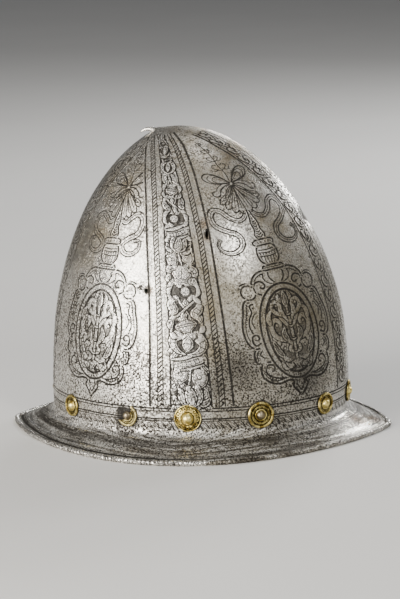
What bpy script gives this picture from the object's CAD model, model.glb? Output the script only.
# Cabasset: the looks of an etched steel helmet with brass rosettes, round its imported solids.
import math
from functools import partial
import bpy
import numpy as np
from mathutils import Matrix, Vector


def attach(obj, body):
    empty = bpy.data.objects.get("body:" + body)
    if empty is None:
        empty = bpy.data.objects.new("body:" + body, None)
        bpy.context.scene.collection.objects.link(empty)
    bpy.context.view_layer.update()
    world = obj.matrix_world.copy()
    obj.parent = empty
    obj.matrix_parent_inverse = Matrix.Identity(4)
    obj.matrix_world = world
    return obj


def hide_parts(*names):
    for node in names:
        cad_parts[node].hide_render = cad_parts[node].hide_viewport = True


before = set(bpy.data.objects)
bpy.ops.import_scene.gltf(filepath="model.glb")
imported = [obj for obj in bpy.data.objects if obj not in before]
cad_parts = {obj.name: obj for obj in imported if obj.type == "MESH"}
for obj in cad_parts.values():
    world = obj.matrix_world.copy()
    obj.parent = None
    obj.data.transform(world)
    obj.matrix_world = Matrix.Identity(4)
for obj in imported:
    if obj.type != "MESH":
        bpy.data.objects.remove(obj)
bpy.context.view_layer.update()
mm = 0.001

# Studio: a pale floor, a large soft light from the upper left and weaker ones round the helmet.
# The camera stands 2.16 m away, just forward of the wearer's right side and a little above.
def deselect():
    if bpy.context.object and bpy.context.object.mode != "OBJECT":
        bpy.ops.object.mode_set(mode="OBJECT")
    bpy.ops.object.select_all(action="DESELECT")


def hex_color(text):
    """An sRGB hex colour as linear red, green, blue and alpha."""
    parts = [int(text[i:i + 2], 16) / 255 for i in (1, 3, 5)]
    return [c / 12.92 if c <= 0.04045 else ((c + 0.055) / 1.055) ** 2.4 for c in parts] + [1]


def add_node(tree, kind, inputs=None, **settings):
    """Adds a node with its settings, such as Math.MULTIPLY, and sets or links its inputs, by name or as a
    list. A node stands for its first output, and a pair sets an input's Min and Max."""
    kind, _, sort = kind.partition(".")
    if sort:
        settings["data_type" if kind == "Mix" else "operation"] = sort
    node = tree.nodes.new("ShaderNode" + kind)
    for name, value in settings.items():
        setattr(node, name, value)
    for name, value in enumerate(inputs) if isinstance(inputs, list) else (inputs or {}).items():
        if isinstance(value, bpy.types.Node):
            value = next(socket for socket in value.outputs if socket.enabled)
        if isinstance(value, tuple):
            node.inputs[name + " Min"].default_value, node.inputs[name + " Max"].default_value = value
        elif isinstance(value, bpy.types.NodeSocket):
            tree.links.new(value, node.inputs[name])
        else:
            node.inputs[name].default_value = hex_color(value) if isinstance(value, str) else value
    return node


def new_material(name):
    """An empty material, and add_node for its own tree."""
    material = bpy.data.materials.new(name)
    material.use_nodes = True
    material.node_tree.nodes.clear()
    return material, partial(add_node, material.node_tree)


image_width, image_height = 400, 599
camera_azimuth = math.radians(10.87)
camera_height = math.radians(11.88)
camera_roll = math.radians(1.77)
camera_distance = 2.162
camera_aim = Vector((0, 0, 0.1102))
# Where the photograph shows the aim point, and how many of its pixels the focal length spans
aim_pixel_x, aim_pixel_y = 196.6, 285.0
focal_pixels = 2791
sensor = 24

toward = Vector((
    math.sin(camera_azimuth) * math.cos(camera_height),
    -math.cos(camera_azimuth) * math.cos(camera_height),
    math.sin(camera_height),
))
level_right = Vector((math.cos(camera_azimuth), math.sin(camera_azimuth), 0))
level_up = toward.cross(level_right)
right = level_right * math.cos(camera_roll) - level_up * math.sin(camera_roll)
up = level_right * math.sin(camera_roll) + level_up * math.cos(camera_roll)
place = camera_aim + toward * camera_distance
deselect()
bpy.ops.object.camera_add()
camera = bpy.context.object
camera.name = "camera"
camera.matrix_world = Matrix((
    (right.x, up.x, toward.x, place.x),
    (right.y, up.y, toward.y, place.y),
    (right.z, up.z, toward.z, place.z),
    (0, 0, 0, 1),
))
camera.data.sensor_fit = "VERTICAL"
camera.data.sensor_height = sensor
camera.data.lens = sensor * focal_pixels / image_height
camera.data.shift_x = (image_width / 2 - aim_pixel_x) / image_height
camera.data.shift_y = (aim_pixel_y - image_height / 2) / image_height
camera.data.clip_end = 50
bpy.context.scene.camera = camera


def soft_light(name, place, size, power, color):
    deselect()
    bpy.ops.object.light_add(type="AREA", location=place)
    light = bpy.context.object
    light.name = name
    light.data.shape = "RECTANGLE"
    light.data.size, light.data.size_y = size
    light.data.energy = power
    light.data.color = hex_color(color)[:3]
    way = camera_aim - Vector(place)
    light.rotation_euler = way.to_track_quat("-Z", "Y").to_euler()


soft_light("key_light", (-1.22, -1.52, 0.72), (1.44, 1.5), 70, "#fffaf2")
soft_light("low_light", (-0.82, -1.55, 0.2), (1.1, 0.34), 15, "#fffaf2")
soft_light("brim_light", (0.25, 1.5, 1.05), (0.55, 0.2), 12, "#ffffff")
soft_light("streak_light", (0.92, -1.42, 1.08), (0.26, 0.6), 11, "#fffdf8")
soft_light("front_light", (1.75, -1.1, 0.95), (0.35, 0.7), 3.5, "#f6f7ff")
soft_light("back_light", (1.15, 1.4, 0.9), (0.6, 0.5), 17, "#ffffff")
soft_light("top_light", (0.2, -0.2, 2.3), (1.0, 1.0), 9, "#ffffff")

world = bpy.data.worlds.new("studio")
bpy.context.scene.world = world
world.use_nodes = True
world.node_tree.nodes["Background"].inputs["Color"].default_value = hex_color("#aeb0b4")
world.node_tree.nodes["Background"].inputs["Strength"].default_value = 0.3

deselect()
bpy.ops.mesh.primitive_plane_add(size=14)
floor = bpy.context.object
floor.name = "floor"
paper, add = new_material("pale_paper_backdrop")
place = add("TexCoord")
fibre = add("TexNoise", {"Vector": place.outputs["Object"], "Scale": 0.006 / mm, "Detail": 3})
tone = add("Mix.RGBA", {"Factor": fibre, "A": "#d6d5d2", "B": "#dcdbd8"})
shader = add("BsdfPrincipled", {"Base Color": tone, "Roughness": 0.8})
add("OutputMaterial", {"Surface": shader})
floor.data.materials.append(paper)

# Skull: one sheet of steel raised into a keeled almond with a hooked stalk and a narrow pointed brim.
# Its edge is turned over and filed like a rope. The steel is 1.4 mm thick, and pitted with age.
base_half_length, base_half_width = 115 * mm, 93 * mm
skull_height, apex_setback, wall = 218 * mm, 27 * mm, 1.4 * mm
keel_height, keel_half_width, keel_crest = 3 * mm, 30 * mm, 1.5
brim_half_length, brim_half_width, brim_drop, brim_point = 150 * mm, 128 * mm, 12.5 * mm, 1.54
brim_hollow = 0.9 * mm
edge_r, fillet_rise, fillet_reach = 2.1 * mm, 6.5 * mm, 6 * mm
# Standing on tables has worn the roll flat underneath, over this angle to each side
worn_angle = math.radians(10)
base_z = brim_drop + edge_r * math.cos(worn_angle)
# Shape of the side at front, flank and rear: bulge, rise, crown and lift
front_shape = (0.09, 0.50, 0.595, 0.075)
flank_shape = (0.01, 0.46, 0.43, 0)
rear_shape = (0.035, 0.555, 0.51, -0.12)
# The side runs from over the fillet to under the stalk, as shares of its curve
foot_climb = 1.5
side_start, side_end = fillet_rise / (foot_climb * skull_height), 0.965


def unit(v):
    return v / np.linalg.norm(v, axis=-1, keepdims=True)


def stack(x, y, z):
    return np.stack(np.broadcast_arrays(x, y, z), axis=-1)


def normal_of(surface, a, b, step_a, step_b, *more):
    """The outward normal of a surface that is a function of two numbers, from small steps to each side."""
    return unit(np.cross(
        surface(a + step_a, b, *more) - surface(a - step_a, b, *more),
        surface(a, b + step_b, *more) - surface(a, b - step_b, *more),
    ))


def lengths_along(points):
    """How far along a line each of its points is."""
    return np.concatenate([[0], np.cumsum(np.linalg.norm(np.diff(points, axis=0), axis=1))])


def true_side(angle, t, height=skull_height):
    """Points of the true outer side, angles in degrees from the front, t from 0 at the base line to 1."""
    angle, t = np.broadcast_arrays(np.asarray(angle, float), np.asarray(t, float))
    cos, sin = np.cos(np.radians(angle)), np.sin(np.radians(angle))
    front, rear = np.maximum(cos, 0) ** 2, np.maximum(-cos, 0) ** 2
    flank = 1 - front - rear
    bulge, rise, crown, lift = (
        front * f + rear * r + flank * s for f, r, s in zip(front_shape, rear_shape, flank_shape)
    )
    b1, b2 = 3 * t * (1 - t) ** 2, 3 * t * t * (1 - t)
    reach_x = base_half_length * cos + apex_setback
    reach_y = base_half_width * sin
    reach = np.hypot(reach_x, reach_y)
    out = (1 - t) ** 3 + b1 * (1 + bulge) + b2 * crown
    rise_z = (b1 * rise + b2 * (1 + lift) + t ** 3) * height
    half = np.radians(angle) / 2
    away = 2 * np.arcsin(np.minimum(abs(np.sin(half)), abs(np.cos(half)))) * out * reach / keel_half_width
    foot = np.clip((t - 0.05) / 0.25, 0, 1)
    keel = keel_height * np.maximum(1 - away, 0) ** keel_crest * foot * foot * (3 - 2 * foot) * (1 - t ** 8)
    lean = np.radians(90 * t * t * (1.6 - 0.6 * t))
    span = out * reach + keel * np.cos(lean)
    span_x, span_y = span * reach_x / reach, span * reach_y / reach
    return stack(span_x - apex_setback, span_y, rise_z + keel * np.sin(lean))


def true_normal(angle, t, height=skull_height):
    return normal_of(true_side, angle, t, 0.5, 0.004, height)


# The hammer left the side slightly uneven: waves of 30 to 90 mm as depth, length, direction and start,
# all under a quarter of a millimetre deep
hammer_waves = (
    (0.22 * mm, 88 * mm, (0.6, 0.3, 0.74), 0.4), (0.16 * mm, 61 * mm, (-0.5, 0.7, 0.5), 2.1),
    (0.12 * mm, 43 * mm, (0.2, -0.4, 0.9), 4.4), (0.07 * mm, 31 * mm, (0.8, 0.5, -0.3), 1.3),
)
# Dents as angle, height, depth and radius: over the front keel, and beside the side band
dents = ((0, 151 * mm, 1.8 * mm, 6 * mm), (-100, 107 * mm, 0.7 * mm, 5 * mm))


def side_point(angle, t):
    """Points of the side as hammered, fading to the true form at the rivets and under the stalk."""
    p = true_side(angle, t)
    sink = np.zeros(p.shape[:-1])
    for deep, long, way, start in hammer_waves:
        sink += deep * (1 + np.sin(p @ np.array(way) * 2 * math.pi / long + start)) / 2
    fade = np.clip((p[..., 2] / mm - 22) / 25, 0, 1) * np.clip((0.97 - t) / 0.1, 0, 1)
    for angle_d, height_d, deep, radius in dents:
        middle = true_side(angle_d, side_at(angle_d, height_d))
        sink += deep * np.exp(-(np.linalg.norm(p - middle, axis=-1) / radius) ** 2)
    return p - (sink * fade)[..., None] * true_normal(angle, t)


halvings = 24


def side_at(angle, z, height=skull_height):
    """The place t up the side, z above the base line, found by halving."""
    angle, z = np.broadcast_arrays(np.asarray(angle, float), np.asarray(z, float))
    low, high = np.zeros(z.shape), np.ones(z.shape)
    for _ in range(halvings):
        t = (low + high) / 2
        below = true_side(angle, t, height)[..., 2] < z
        low, high = np.where(below, t, low), np.where(below, high, t)
    return (low + high) / 2


def side_normal(angle, t):
    return normal_of(side_point, angle, t, 0.4, 0.003)


def brim_edge(angle):
    cos, sin = np.cos(np.radians(angle)), np.sin(np.radians(angle))
    return np.stack([brim_half_length * cos, brim_half_width * np.sign(sin) * abs(sin) ** brim_point], -1)


def edge_point(angle, turn, radius=edge_r):
    """Points of the turned edge, turn in degrees round it from outwards, 0, through up, 90."""
    d = brim_edge(angle + 2) - brim_edge(angle - 2)
    outward = unit(np.stack([d[..., 1], -d[..., 0]], -1))
    flat = brim_edge(angle) + (radius * np.cos(np.radians(turn)) - edge_r)[..., None] * outward
    return stack(flat[..., 0], flat[..., 1], radius * np.sin(np.radians(turn)) - brim_drop)


# Where the sheet's two faces meet the roll
edge_top = 150
edge_under = math.degrees(math.asin((wall - edge_r * math.sin(math.radians(edge_top))) / edge_r)) - 180


def mix(a, b, share):
    return a + (b - a) * share


def brim_top(angle, k):
    """Upper face of the brim: k from 0 at the side through 1 past the hollow curve to 2 at the edge."""
    angle, k = np.broadcast_arrays(np.asarray(angle, float), np.asarray(k, float))
    start = true_side(angle, side_start)
    cos, sin = np.cos(np.radians(angle)), np.sin(np.radians(angle))
    corner = stack(base_half_length * cos, base_half_width * sin, np.zeros_like(angle))
    neck = edge_point(angle, np.full_like(angle, edge_top))
    width = np.linalg.norm(brim_edge(angle) - corner[..., :2], axis=-1)
    reach = np.minimum(fillet_reach, 0.45 * width)[..., None]
    end = corner + (neck - corner) * reach / np.linalg.norm(neck - corner, axis=-1, keepdims=True)
    f = np.minimum(k, 1)[..., None]
    curve = mix(mix(start, corner, f), mix(corner, end, f), f)
    # The flat is dished by up to 0.9 mm, from the hammer
    sag = brim_hollow * np.minimum(width / (25 * mm), 1) * np.sin(np.pi * np.clip(k - 1, 0, 1)) ** 1.5
    flat = mix(end, neck, k[..., None] - 1) - sag[..., None] * np.array((0, 0, 1))
    return np.where(k[..., None] <= 1, curve, flat)


def brim_normal(angle, k):
    return normal_of(brim_top, angle, k, 0.5, -0.02)


stalk_length, stalk_root_r, stalk_tip_r, stalk_taper = 11.5 * mm, 2.2 * mm, 0.6 * mm, 0.7
stalk_first, stalk_last, stalk_back, stalk_sink = 65, 135, 1.25, 0.4
stalk_steps = 12


def stalk_rings(angles):
    """Rings of the hooked stalk: each middle steps along the hook while the ring's face turns over."""
    root_x, root_z = -apex_setback - stalk_back * stalk_root_r, skull_height - stalk_sink * stalk_root_r
    middle = np.array((root_x, 0, root_z))
    q = np.radians(angles)
    rings = []
    for k in range(stalk_steps + 1):
        share = k / stalk_steps
        if k:
            a = math.radians(mix(stalk_first, stalk_last, (k - 0.5) / stalk_steps))
            middle = middle + stalk_length / stalk_steps * np.array([-math.sin(a), 0, math.cos(a)])
        a = math.radians(mix(stalk_first, stalk_last, share))
        r = mix(stalk_root_r, stalk_tip_r, share ** stalk_taper)
        if k == stalk_steps:
            r = 0
        rings.append(middle + r * stack(np.cos(q) * math.cos(a), np.sin(q), np.cos(q) * math.sin(a)))
    return rings


# Wear across the brim: where on it, and how dark, which below nothing means polished
brim_wear = (0, 0.45, 0.9, 1.0, 1.1, 1.32, 1.42, 1.6, 1.68, 1.77, 1.82, 1.9, 1.96)
brim_tones = (-0.1, -0.7, -0.5, 0.3, 0.55, 0.5, 0.02, -0.2, -0.7, -1, 0.2, 1, 0.1)
# The dirt is thickest behind the wearer's right: by angle, the share that is kept
dirt_angles = (0, 40, 90, 150, 180, 210, 258, 285, 320, 340, 360)
dirt_shares = (0.3, 0.9, 1.4, 1.1, 1.7, 1.9, 1.6, 0.9, 0.7, 0.2, 0.3)


# Points in a ring, and rings up the inside, under the brim, round the edge, over the brim and up the outside
ring_points, inside_rings, under_rings, core_rings, top_rings, outside_rings = 324, 34, 11, 12, 29, 118
# The brim's flat ends just short of the roll, below and above, and the notches are cut down to a core
last_under, last_top, core_r = 1.96, 1.97, 0.86 * edge_r


def raised_rings():
    """Rings of the whole sheet, from under the apex inside, round the brim's edge and up to the stalk's tip,
    and how dark each is with old dirt."""
    angles = np.linspace(0, 360, ring_points + 1)
    none = np.zeros(ring_points + 1)
    rings = [stack(none - apex_setback, none, skull_height - 1.5 * wall)]
    for t in np.linspace(side_end, side_start, inside_rings):
        rings.append(true_side(angles, t) - wall * side_normal(angles, t))
    for k in np.linspace(0, last_under, under_rings + 1)[1:]:
        rings.append(brim_top(angles, k) - wall * brim_normal(angles, k))
    for turn in np.linspace(edge_under, edge_top, core_rings):
        rings.append(edge_point(angles, np.full_like(angles, turn), core_r))
    # The inside is black from the hammer and the fire, and only the edge was cleaned
    grime = [none + 0.8] * (1 + inside_rings + under_rings) + [none + 0.35] * core_rings
    share = np.interp(angles, dirt_angles, dirt_shares)
    for k in np.linspace(last_top, 0, top_rings + 1)[:-1]:
        rings.append(brim_top(angles, k))
        tone = np.interp(k, brim_wear, brim_tones)
        grime.append(tone * (share if tone > 0 else none + 1))
    for t in np.linspace(side_start, side_end, outside_rings):
        rings.append(side_point(angles, t))
        grime.append(none)
    stalk = stalk_rings(angles)
    grime.extend([none] * len(stalk))
    return rings + stalk, np.array(grime)


def mark_grime(piece, values):
    """Keeps at each vertex how dark it is, for the materials to read. Below nothing means polished."""
    layer = piece.data.attributes.new("grime", "FLOAT", "POINT")
    layer.data.foreach_set("value", np.asarray(values, np.float32).ravel())


def points_of(piece):
    points = np.empty(len(piece.data.vertices) * 3, np.float32)
    piece.data.vertices.foreach_get("co", points)
    return points.reshape(-1, 3).astype(float)


def put_points(piece, points):
    piece.data.vertices.foreach_set("co", points.astype(np.float32).ravel())


def sheet_of_rings(name, rings, grime=0.0):
    """A grid whose rows are laid on closed rings, with its seam and its ends welded."""
    rows, columns = len(rings), len(rings[0])
    deselect()
    bpy.ops.mesh.primitive_grid_add(x_subdivisions=columns - 1, y_subdivisions=rows - 1, size=1)
    piece = bpy.context.object
    piece.name = piece.data.name = name
    points = np.concatenate(rings).astype(np.float32)
    points[:, 2] += base_z
    put_points(piece, points)
    piece.data.update()
    mark_grime(piece, np.broadcast_to(grime, (rows, columns)))
    bpy.ops.object.mode_set(mode="EDIT")
    bpy.ops.mesh.select_all(action="SELECT")
    bpy.ops.mesh.remove_doubles(threshold=0.00001)
    bpy.ops.mesh.normals_make_consistent(inside=False)
    bpy.ops.object.mode_set(mode="OBJECT")
    bpy.ops.object.shade_smooth()
    return piece


def select(first, *others):
    deselect()
    for piece in (first, *others):
        piece.select_set(True)
    bpy.context.view_layer.objects.active = first


def join(first, *others):
    select(first, *others)
    bpy.ops.object.join()
    return first


def apply_modifier(piece, name):
    select(piece)
    bpy.ops.object.modifier_apply(modifier=name)


def cut_away(piece, cutter):
    """Takes the cutter's shape out of a piece, and removes the cutter."""
    cut = piece.modifiers.new("cut", "BOOLEAN")
    cut.operation = "DIFFERENCE"
    cut.solver = "EXACT"
    cut.object = cutter
    apply_modifier(piece, "cut")
    bpy.data.objects.remove(cutter)


# The file cuts slanting notches over the outer and upper part of the roll, 3.7 mm apart: how many, how
# deep as a share of its radius, and how many steps each has along and round
rope_notches, rope_depth, rope_steps, rope_sides = 232, 0.36, 7, 16


def rope_rings():
    fine = np.linspace(0, 360, 7201)
    along = lengths_along(brim_edge(fine))
    share = np.linspace(0, 1, rope_notches * rope_steps + 1)
    angles = np.interp(share, along / along[-1], fine)
    rings, grime = [], []
    for turn in np.linspace(-180, 180, rope_sides + 1):
        lump = abs(np.sin(np.pi * (share * rope_notches + 1.2 * turn / 360))) ** 0.6
        reached = np.clip((math.cos(math.radians(turn - 45)) + 0.7) / 0.8, 0, 1)
        p = edge_point(angles, np.full_like(angles, turn), edge_r * (1 - rope_depth * reached * (1 - lump)))
        p[:, 2] = np.maximum(p[:, 2], -base_z)
        rings.append(p)
        grime.append(np.where(lump < 0.5, 1.4 * (0.6 - lump), -reached) * (0.3 + 0.7 * reached))
    return rings, np.array(grime)


rivet_height, shank_d, hole_play = 13.5 * mm, 3 * mm, 0.1 * mm
stations = {"front": 0, "rear": 180}
for number, angle in enumerate((26, 58, 86, 110, 140), 1):
    stations["right_%d" % number] = -angle
    stations["left_%d" % number] = angle


def station_matrix(angle):
    """Places a piece made on the origin at a rivet, its z out of the steel from the outer face."""
    t = side_at(angle, rivet_height)
    place = Vector(true_side(angle, t)) + Vector((0, 0, base_z))
    n = Vector(true_normal(angle, t))
    across = Vector((-n.y, n.x, 0)).normalized()
    down = across.cross(n)
    return Matrix((
        (down.x, across.x, n.x, place.x), (down.y, across.y, n.y, place.y),
        (down.z, across.z, n.z, place.z), (0, 0, 0, 1),
    ))


# Corroded holes as angle, height above the base line, half width and half height, in millimetres
lost_spots = (
    (-68.2, 147.5, 0.9, 4.4), (-102, 107.2, 1.1, 1.5), (-11, 135.7, 0.9, 1.3), (-159.5, 101.7, 0.7, 1.3),
)
cutter_depth = 12 * mm


def hole_cutter(name, matrix, half_width, half_height, sides):
    deselect()
    bpy.ops.mesh.primitive_cylinder_add(vertices=sides, radius=1, depth=cutter_depth)
    cutter = bpy.context.object
    cutter.name = name
    cutter.data.transform(matrix @ Matrix.Diagonal((half_height, half_width, 1, 1)))
    return cutter


skull = sheet_of_rings("skull_shell", *raised_rings())
cutters = [
    hole_cutter("rivet_hole", station_matrix(angle), shank_d / 2 + hole_play, shank_d / 2 + hole_play, 24)
    for angle in stations.values()
]
for angle, height, half_width, half_height in lost_spots:
    t = side_at(angle, height * mm)
    n = Vector(side_normal(angle, t))
    place = Matrix.Translation(Vector(side_point(angle, t)) + Vector((0, 0, base_z)))
    turn = n.to_track_quat("Z", "X").to_matrix().to_4x4()
    hole = hole_cutter("lost_spot", place @ turn, half_width * mm, half_height * mm, 9)
    cutters.append(hole)
cut_away(skull, join(*cutters))
skull = join(skull, sheet_of_rings("rope", *rope_rings()))


# A pattern's scale is given per millimetre, here and in the other materials: 0.5 / mm repeats every 2 mm
def steel_finish():
    """Carbon steel, forged, etched and polished: grey and bright, with black pits and a brown bloom.
    Rust ate the feet of the panels, varnish has browned the crest, and handling keeps the stalk bright."""
    material, add = new_material("forged_and_polished_carbon_steel")
    place = add("TexCoord").outputs["Object"]
    swirl = add("TexNoise", {"Vector": place, "Scale": 0.028 / mm, "Detail": 5, "Roughness": 0.65})
    # Patches of wear with ragged edges: how much of each is full, and a middle and a reach in millimetres
    masks = {}
    for wear, soft, patches in (
        ("rusted", 0.5, (
            ((-62, -77, 49), 42), ((-96, -44, 88), 46), ((38, -84, 72), 20), ((0, -100, 20), 40),
            ((60, -88, 34), 36), ((-70, 76, 60), 48), ((60, 84, 60), 40), ((-118, 10, 60), 46),
            ((20, 70, 150), 34),
        )),
        ("browned", 0.3, (
            ((30, -22, 212), 46), ((-4, -8, 228), 30), ((75, -34, 158), 26), ((12, -70, 150), 17),
            ((10, -84, 100), 16), ((88, -59, 100), 34), ((30, 30, 205), 40), ((-40, 60, 140), 36),
            ((134, -8, 12), 15), ((20, -122, 6), 22), ((66, -45, 155), 9), ((60, -40, 170), 9),
            ((70, -48, 140), 9), ((22, -66, 140), 13), ((26, -78, 108), 12), ((28, -84, 80), 13),
            ((-72, -42, 150), 26), ((-50, -30, 195), 26),
        )),
        ("smudged", 0.3, (
            ((45, -81, 64), 19), ((30, -86, 52), 12), ((92, -52, 50), 22), ((-42, -86, 28), 9),
        )),
        ("stained", 0.2, (
            ((19, -57, 170), 6), ((21, -61, 160), 4), ((-22, -74, 121), 4), ((127, -16, 12), 9),
            ((136, 0, 9), 10),
        )),
        ("blackened", 0.7, (((-41, -87, 23), 11), ((-24, -75, 122), 3.5), ((20.5, -58.5, 162), 3))),
        ("bright", 0.3, (
            ((-36, -2, 232), 9), ((-42, -72, 120), 44), ((38, -57, 152), 26), ((118, -26, 10), 34),
            ((-60, 60, 150), 34),
        )),
    ):
        whole = None
        for middle, reach in patches:
            ragged = add("VectorMath.MULTIPLY_ADD", [swirl.outputs["Color"], [1.1 * reach * mm] * 3, place])
            away = add("VectorMath.DISTANCE", [ragged, [(c + 0.55 * reach) * mm for c in middle]])
            fade = (soft * reach * mm, 1.15 * reach * mm)
            spot = add("MapRange", {"Value": away, "From": fade, "To": (1, 0)})
            whole = add("Math.MAXIMUM", [whole, spot]) if whole else spot
        masks[wear] = whole
    rusted, browned, smudged, stained, blackened, bright = masks.values()
    # Scouring along the brim has left streaks: 42 from the middle to the edge, and 22 to a metre along it
    axes = add("SeparateXYZ", {"Vector": place}).outputs
    across = None
    for axis, reach in (("X", brim_half_length), ("Y", brim_half_width)):
        part = add("Math.DIVIDE", [axes[axis], reach])
        part = add("Math.ABSOLUTE", [part])
        part = add("Math.POWER", [part, brim_point])
        across = add("Math.ADD", [across, part]) if across else part
    along_x = add("Math.MULTIPLY", [axes["X"], 22])
    along_y = add("Math.MULTIPLY", [axes["Y"], 22])
    across = add("Math.MULTIPLY", [across, 42])
    streaks = add("CombineXYZ", {"X": along_x, "Y": along_y, "Z": across})
    streaks = add("TexNoise", {"Vector": streaks, "Scale": 1, "Detail": 4, "Roughness": 0.6})
    # Hands have left brown and bright patches on the brim too
    handled = add("TexNoise", {"Vector": place, "Scale": 0.11 / mm, "Detail": 5, "Roughness": 0.72})
    on_brim = add("MapRange", {"Value": axes["Z"], "From": (0.022, 0.016)})
    brim_marks = []
    for pattern, faint, full in (
        (handled, 0.46, 0.6), (handled, 0.47, 0.36), (streaks, 0.52, 0.62), (streaks, 0.49, 0.4),
    ):
        share = add("MapRange", {"Value": pattern, "From": (faint, full)})
        brim_marks.append(add("Math.MULTIPLY", [share, on_brim]))
    brown_brim, bright_brim, dark_streak, pale_streak = brim_marks
    # The wearer's right front panel has kept a dull tan skin
    ahead = add("Math.MULTIPLY_ADD", [axes["Z"], 0.12, axes["X"]])
    ahead = add("Math.MULTIPLY_ADD", [swirl, 0.016, ahead])
    from_band = add("MapRange", {"Value": ahead, "From": (0.028, 0.042)})
    on_right = add("MapRange", {"Value": axes["Y"], "From": (0, -0.012)})
    below = add("MapRange", {"Value": axes["Z"], "From": (0.128, 0.19), "To": (1, 0.25)})
    dull = add("Math.MULTIPLY", [from_band, on_right])
    dull = add("Math.MULTIPLY", [dull, below])

    # Pits of 0.4 to 1.5 mm, crowded where the steel rusted, and a pepper of finer ones
    pit_kinds = []
    for scale, deepest, rim in ((0.56 / mm, 0.18, 0.44), (0.26 / mm, 0.14, 0.36)):
        pit = add("TexVoronoi", {"Vector": place, "Scale": scale})
        pit_kinds.append(add("MapRange", {"Value": pit, "From": (deepest, rim), "To": (1, 0)}))
    fine_pit, wide_pit = pit_kinds
    patchy = add("TexNoise", {"Vector": place, "Scale": 0.03 / mm, "Detail": 5, "Roughness": 0.6})
    patchy = add("MapRange", {"Value": patchy, "From": (0.42, 0.62), "To": (0.16, 0.62)})
    # Pits crowd towards the foot of the side, though wiping reached the band round it
    near_foot = add("MapRange", {"Value": axes["Z"], "From": (0.085, 0.028), "To": (0, 0.62)})
    on_foot = add("MapRange", {"Value": axes["Z"], "From": (0.037, 0.032)})
    bare_brim = add("Math.MULTIPLY", [bright, on_brim])
    amount = patchy
    for mask, share, clamp in (
        (rusted, 0.75, True), (near_foot, 1, True), (on_foot, -0.35, False), (on_brim, 0.65, False),
        (bright, -0.3, True), (bare_brim, -0.75, True),
    ):
        amount = add("Math.MULTIPLY_ADD", [mask, share, amount], use_clamp=clamp)
    pits = None
    for pit, scale, detail, push, faint, full in (
        (fine_pit, 0.21 / mm, 2, 0.17, 0.54, 0.66), (wide_pit, 0.08 / mm, 3, 0.14, 0.6, 0.7),
    ):
        crowd = add("TexNoise", {"Vector": place, "Scale": scale, "Detail": detail})
        crowd = add("Math.MULTIPLY_ADD", [amount, push, crowd])
        crowd = add("MapRange", {"Value": crowd, "From": (faint, full)})
        crowd = add("Math.MULTIPLY", [pit, crowd])
        pits = add("Math.MAXIMUM", [pits, crowd]) if pits else crowd
    speckle = add("TexNoise", {"Vector": place, "Scale": 0.8 / mm, "Detail": 2, "Roughness": 0.6})
    speckle_share = add("Math.MULTIPLY_ADD", [amount, 0.85, 0.2], use_clamp=True)
    grains = []
    for faint, full in ((0.5, 0.6), (0.49, 0.4)):
        share = add("MapRange", {"Value": speckle, "From": (faint, full)})
        grains.append(add("Math.MULTIPLY", [share, speckle_share]))
    pepper, salt = grains

    # Colour, from the clean steel up to the black in pits and etched lines
    cloudy = add("TexNoise", {"Vector": place, "Scale": 0.014 / mm, "Detail": 6, "Roughness": 0.62})
    grain = add("TexNoise", {"Vector": place, "Scale": 0.26 / mm, "Detail": 4, "Roughness": 0.7})
    bloom = add("TexNoise", {"Vector": place, "Scale": 0.045 / mm, "Detail": 5, "Roughness": 0.7})
    bloom = add("MapRange", {"Value": bloom, "From": (0.3, 0.6)})
    bloom = add("Math.MULTIPLY", [bloom, browned])
    clean = add("MapRange", {"Value": cloudy, "From": (0.36, 0.64)})
    grey = add("MapRange", {"Value": grain, "From": (0.46, 0.66), "To": (0, 0.6)})
    dirt = add("Attribute", attribute_name="grime").outputs["Fac"]
    rubbed = add("TexNoise", {"Vector": place, "Scale": 0.5 / mm, "Detail": 2})
    rubbed = add("MapRange", {"Value": rubbed, "From": (0.25, 0.5), "To": (0.75, 1)})
    polished = add("Math.MULTIPLY", [dirt, -1], use_clamp=True)
    dirt = add("Math.MULTIPLY", [dirt, rubbed], use_clamp=True)
    color = add("Mix.RGBA", {"Factor": clean, "A": "#a6a196", "B": "#f0ede7"})
    for mask, most, tone in (
        (grey, 1, "#665f54"), (salt, 0.9, "#fffdf6"), (rusted, 0.3, "#6d685e"), (polished, 0.7, "#fffcf6"),
        (bloom, 0.66, "#8a7850"), (dull, 0.6, "#756d57"), (smudged, 0.62, "#38342e"),
        (brown_brim, 0.4, "#5c5039"), (bright_brim, 0.45, "#f4f0e6"), (dark_streak, 0.7, "#3a3226"),
        (pale_streak, 0.7, "#fffdf6"), (bright, 0.5, "#f4f1ea"), (stained, 0.85, "#6b4f2a"),
        (blackened, 0.8, "#221e19"), (pepper, 0.92, "#1f1a14"), (pits, 0.92, "#16130f"),
        (dirt, 1, "#17130d"),
    ):
        share = add("Math.MULTIPLY", [mask, most])
        color = add("Mix.RGBA", {"Factor": share, "A": color, "B": tone})
    rough = add("MapRange", {"Value": cloudy, "From": (0.3, 0.7), "To": (0.35, 0.26)})
    holes = add("Math.MAXIMUM", [pits, pepper])
    bitten = add("Math.MAXIMUM", [holes, dirt])
    for mask, most in (
        (bitten, 0.4), (rusted, 0.12), (dull, 0.1), (bright, -0.09), (bare_brim, -0.11), (polished, -0.06),
    ):
        rough = add("Math.MULTIPLY_ADD", [mask, most, rough])
    metal = add("Math.MAXIMUM", [dirt, pits])
    metal = add("Math.MULTIPLY_ADD", [metal, -0.6, 1])
    height = add("Math.MULTIPLY", [grain, 0.3])
    height = add("Math.SUBTRACT", [height, holes])
    bump = add("Bump", {"Height": height, "Strength": 0.9, "Distance": 0.0003})
    shader = add("BsdfPrincipled", {
        "Base Color": color, "Metallic": metal, "Roughness": rough, "Normal": bump,
    })
    add("OutputMaterial", {"Surface": shader})
    return material


skull.data.materials.append(steel_finish())
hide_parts("skull")
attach(skull, "root")

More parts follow.
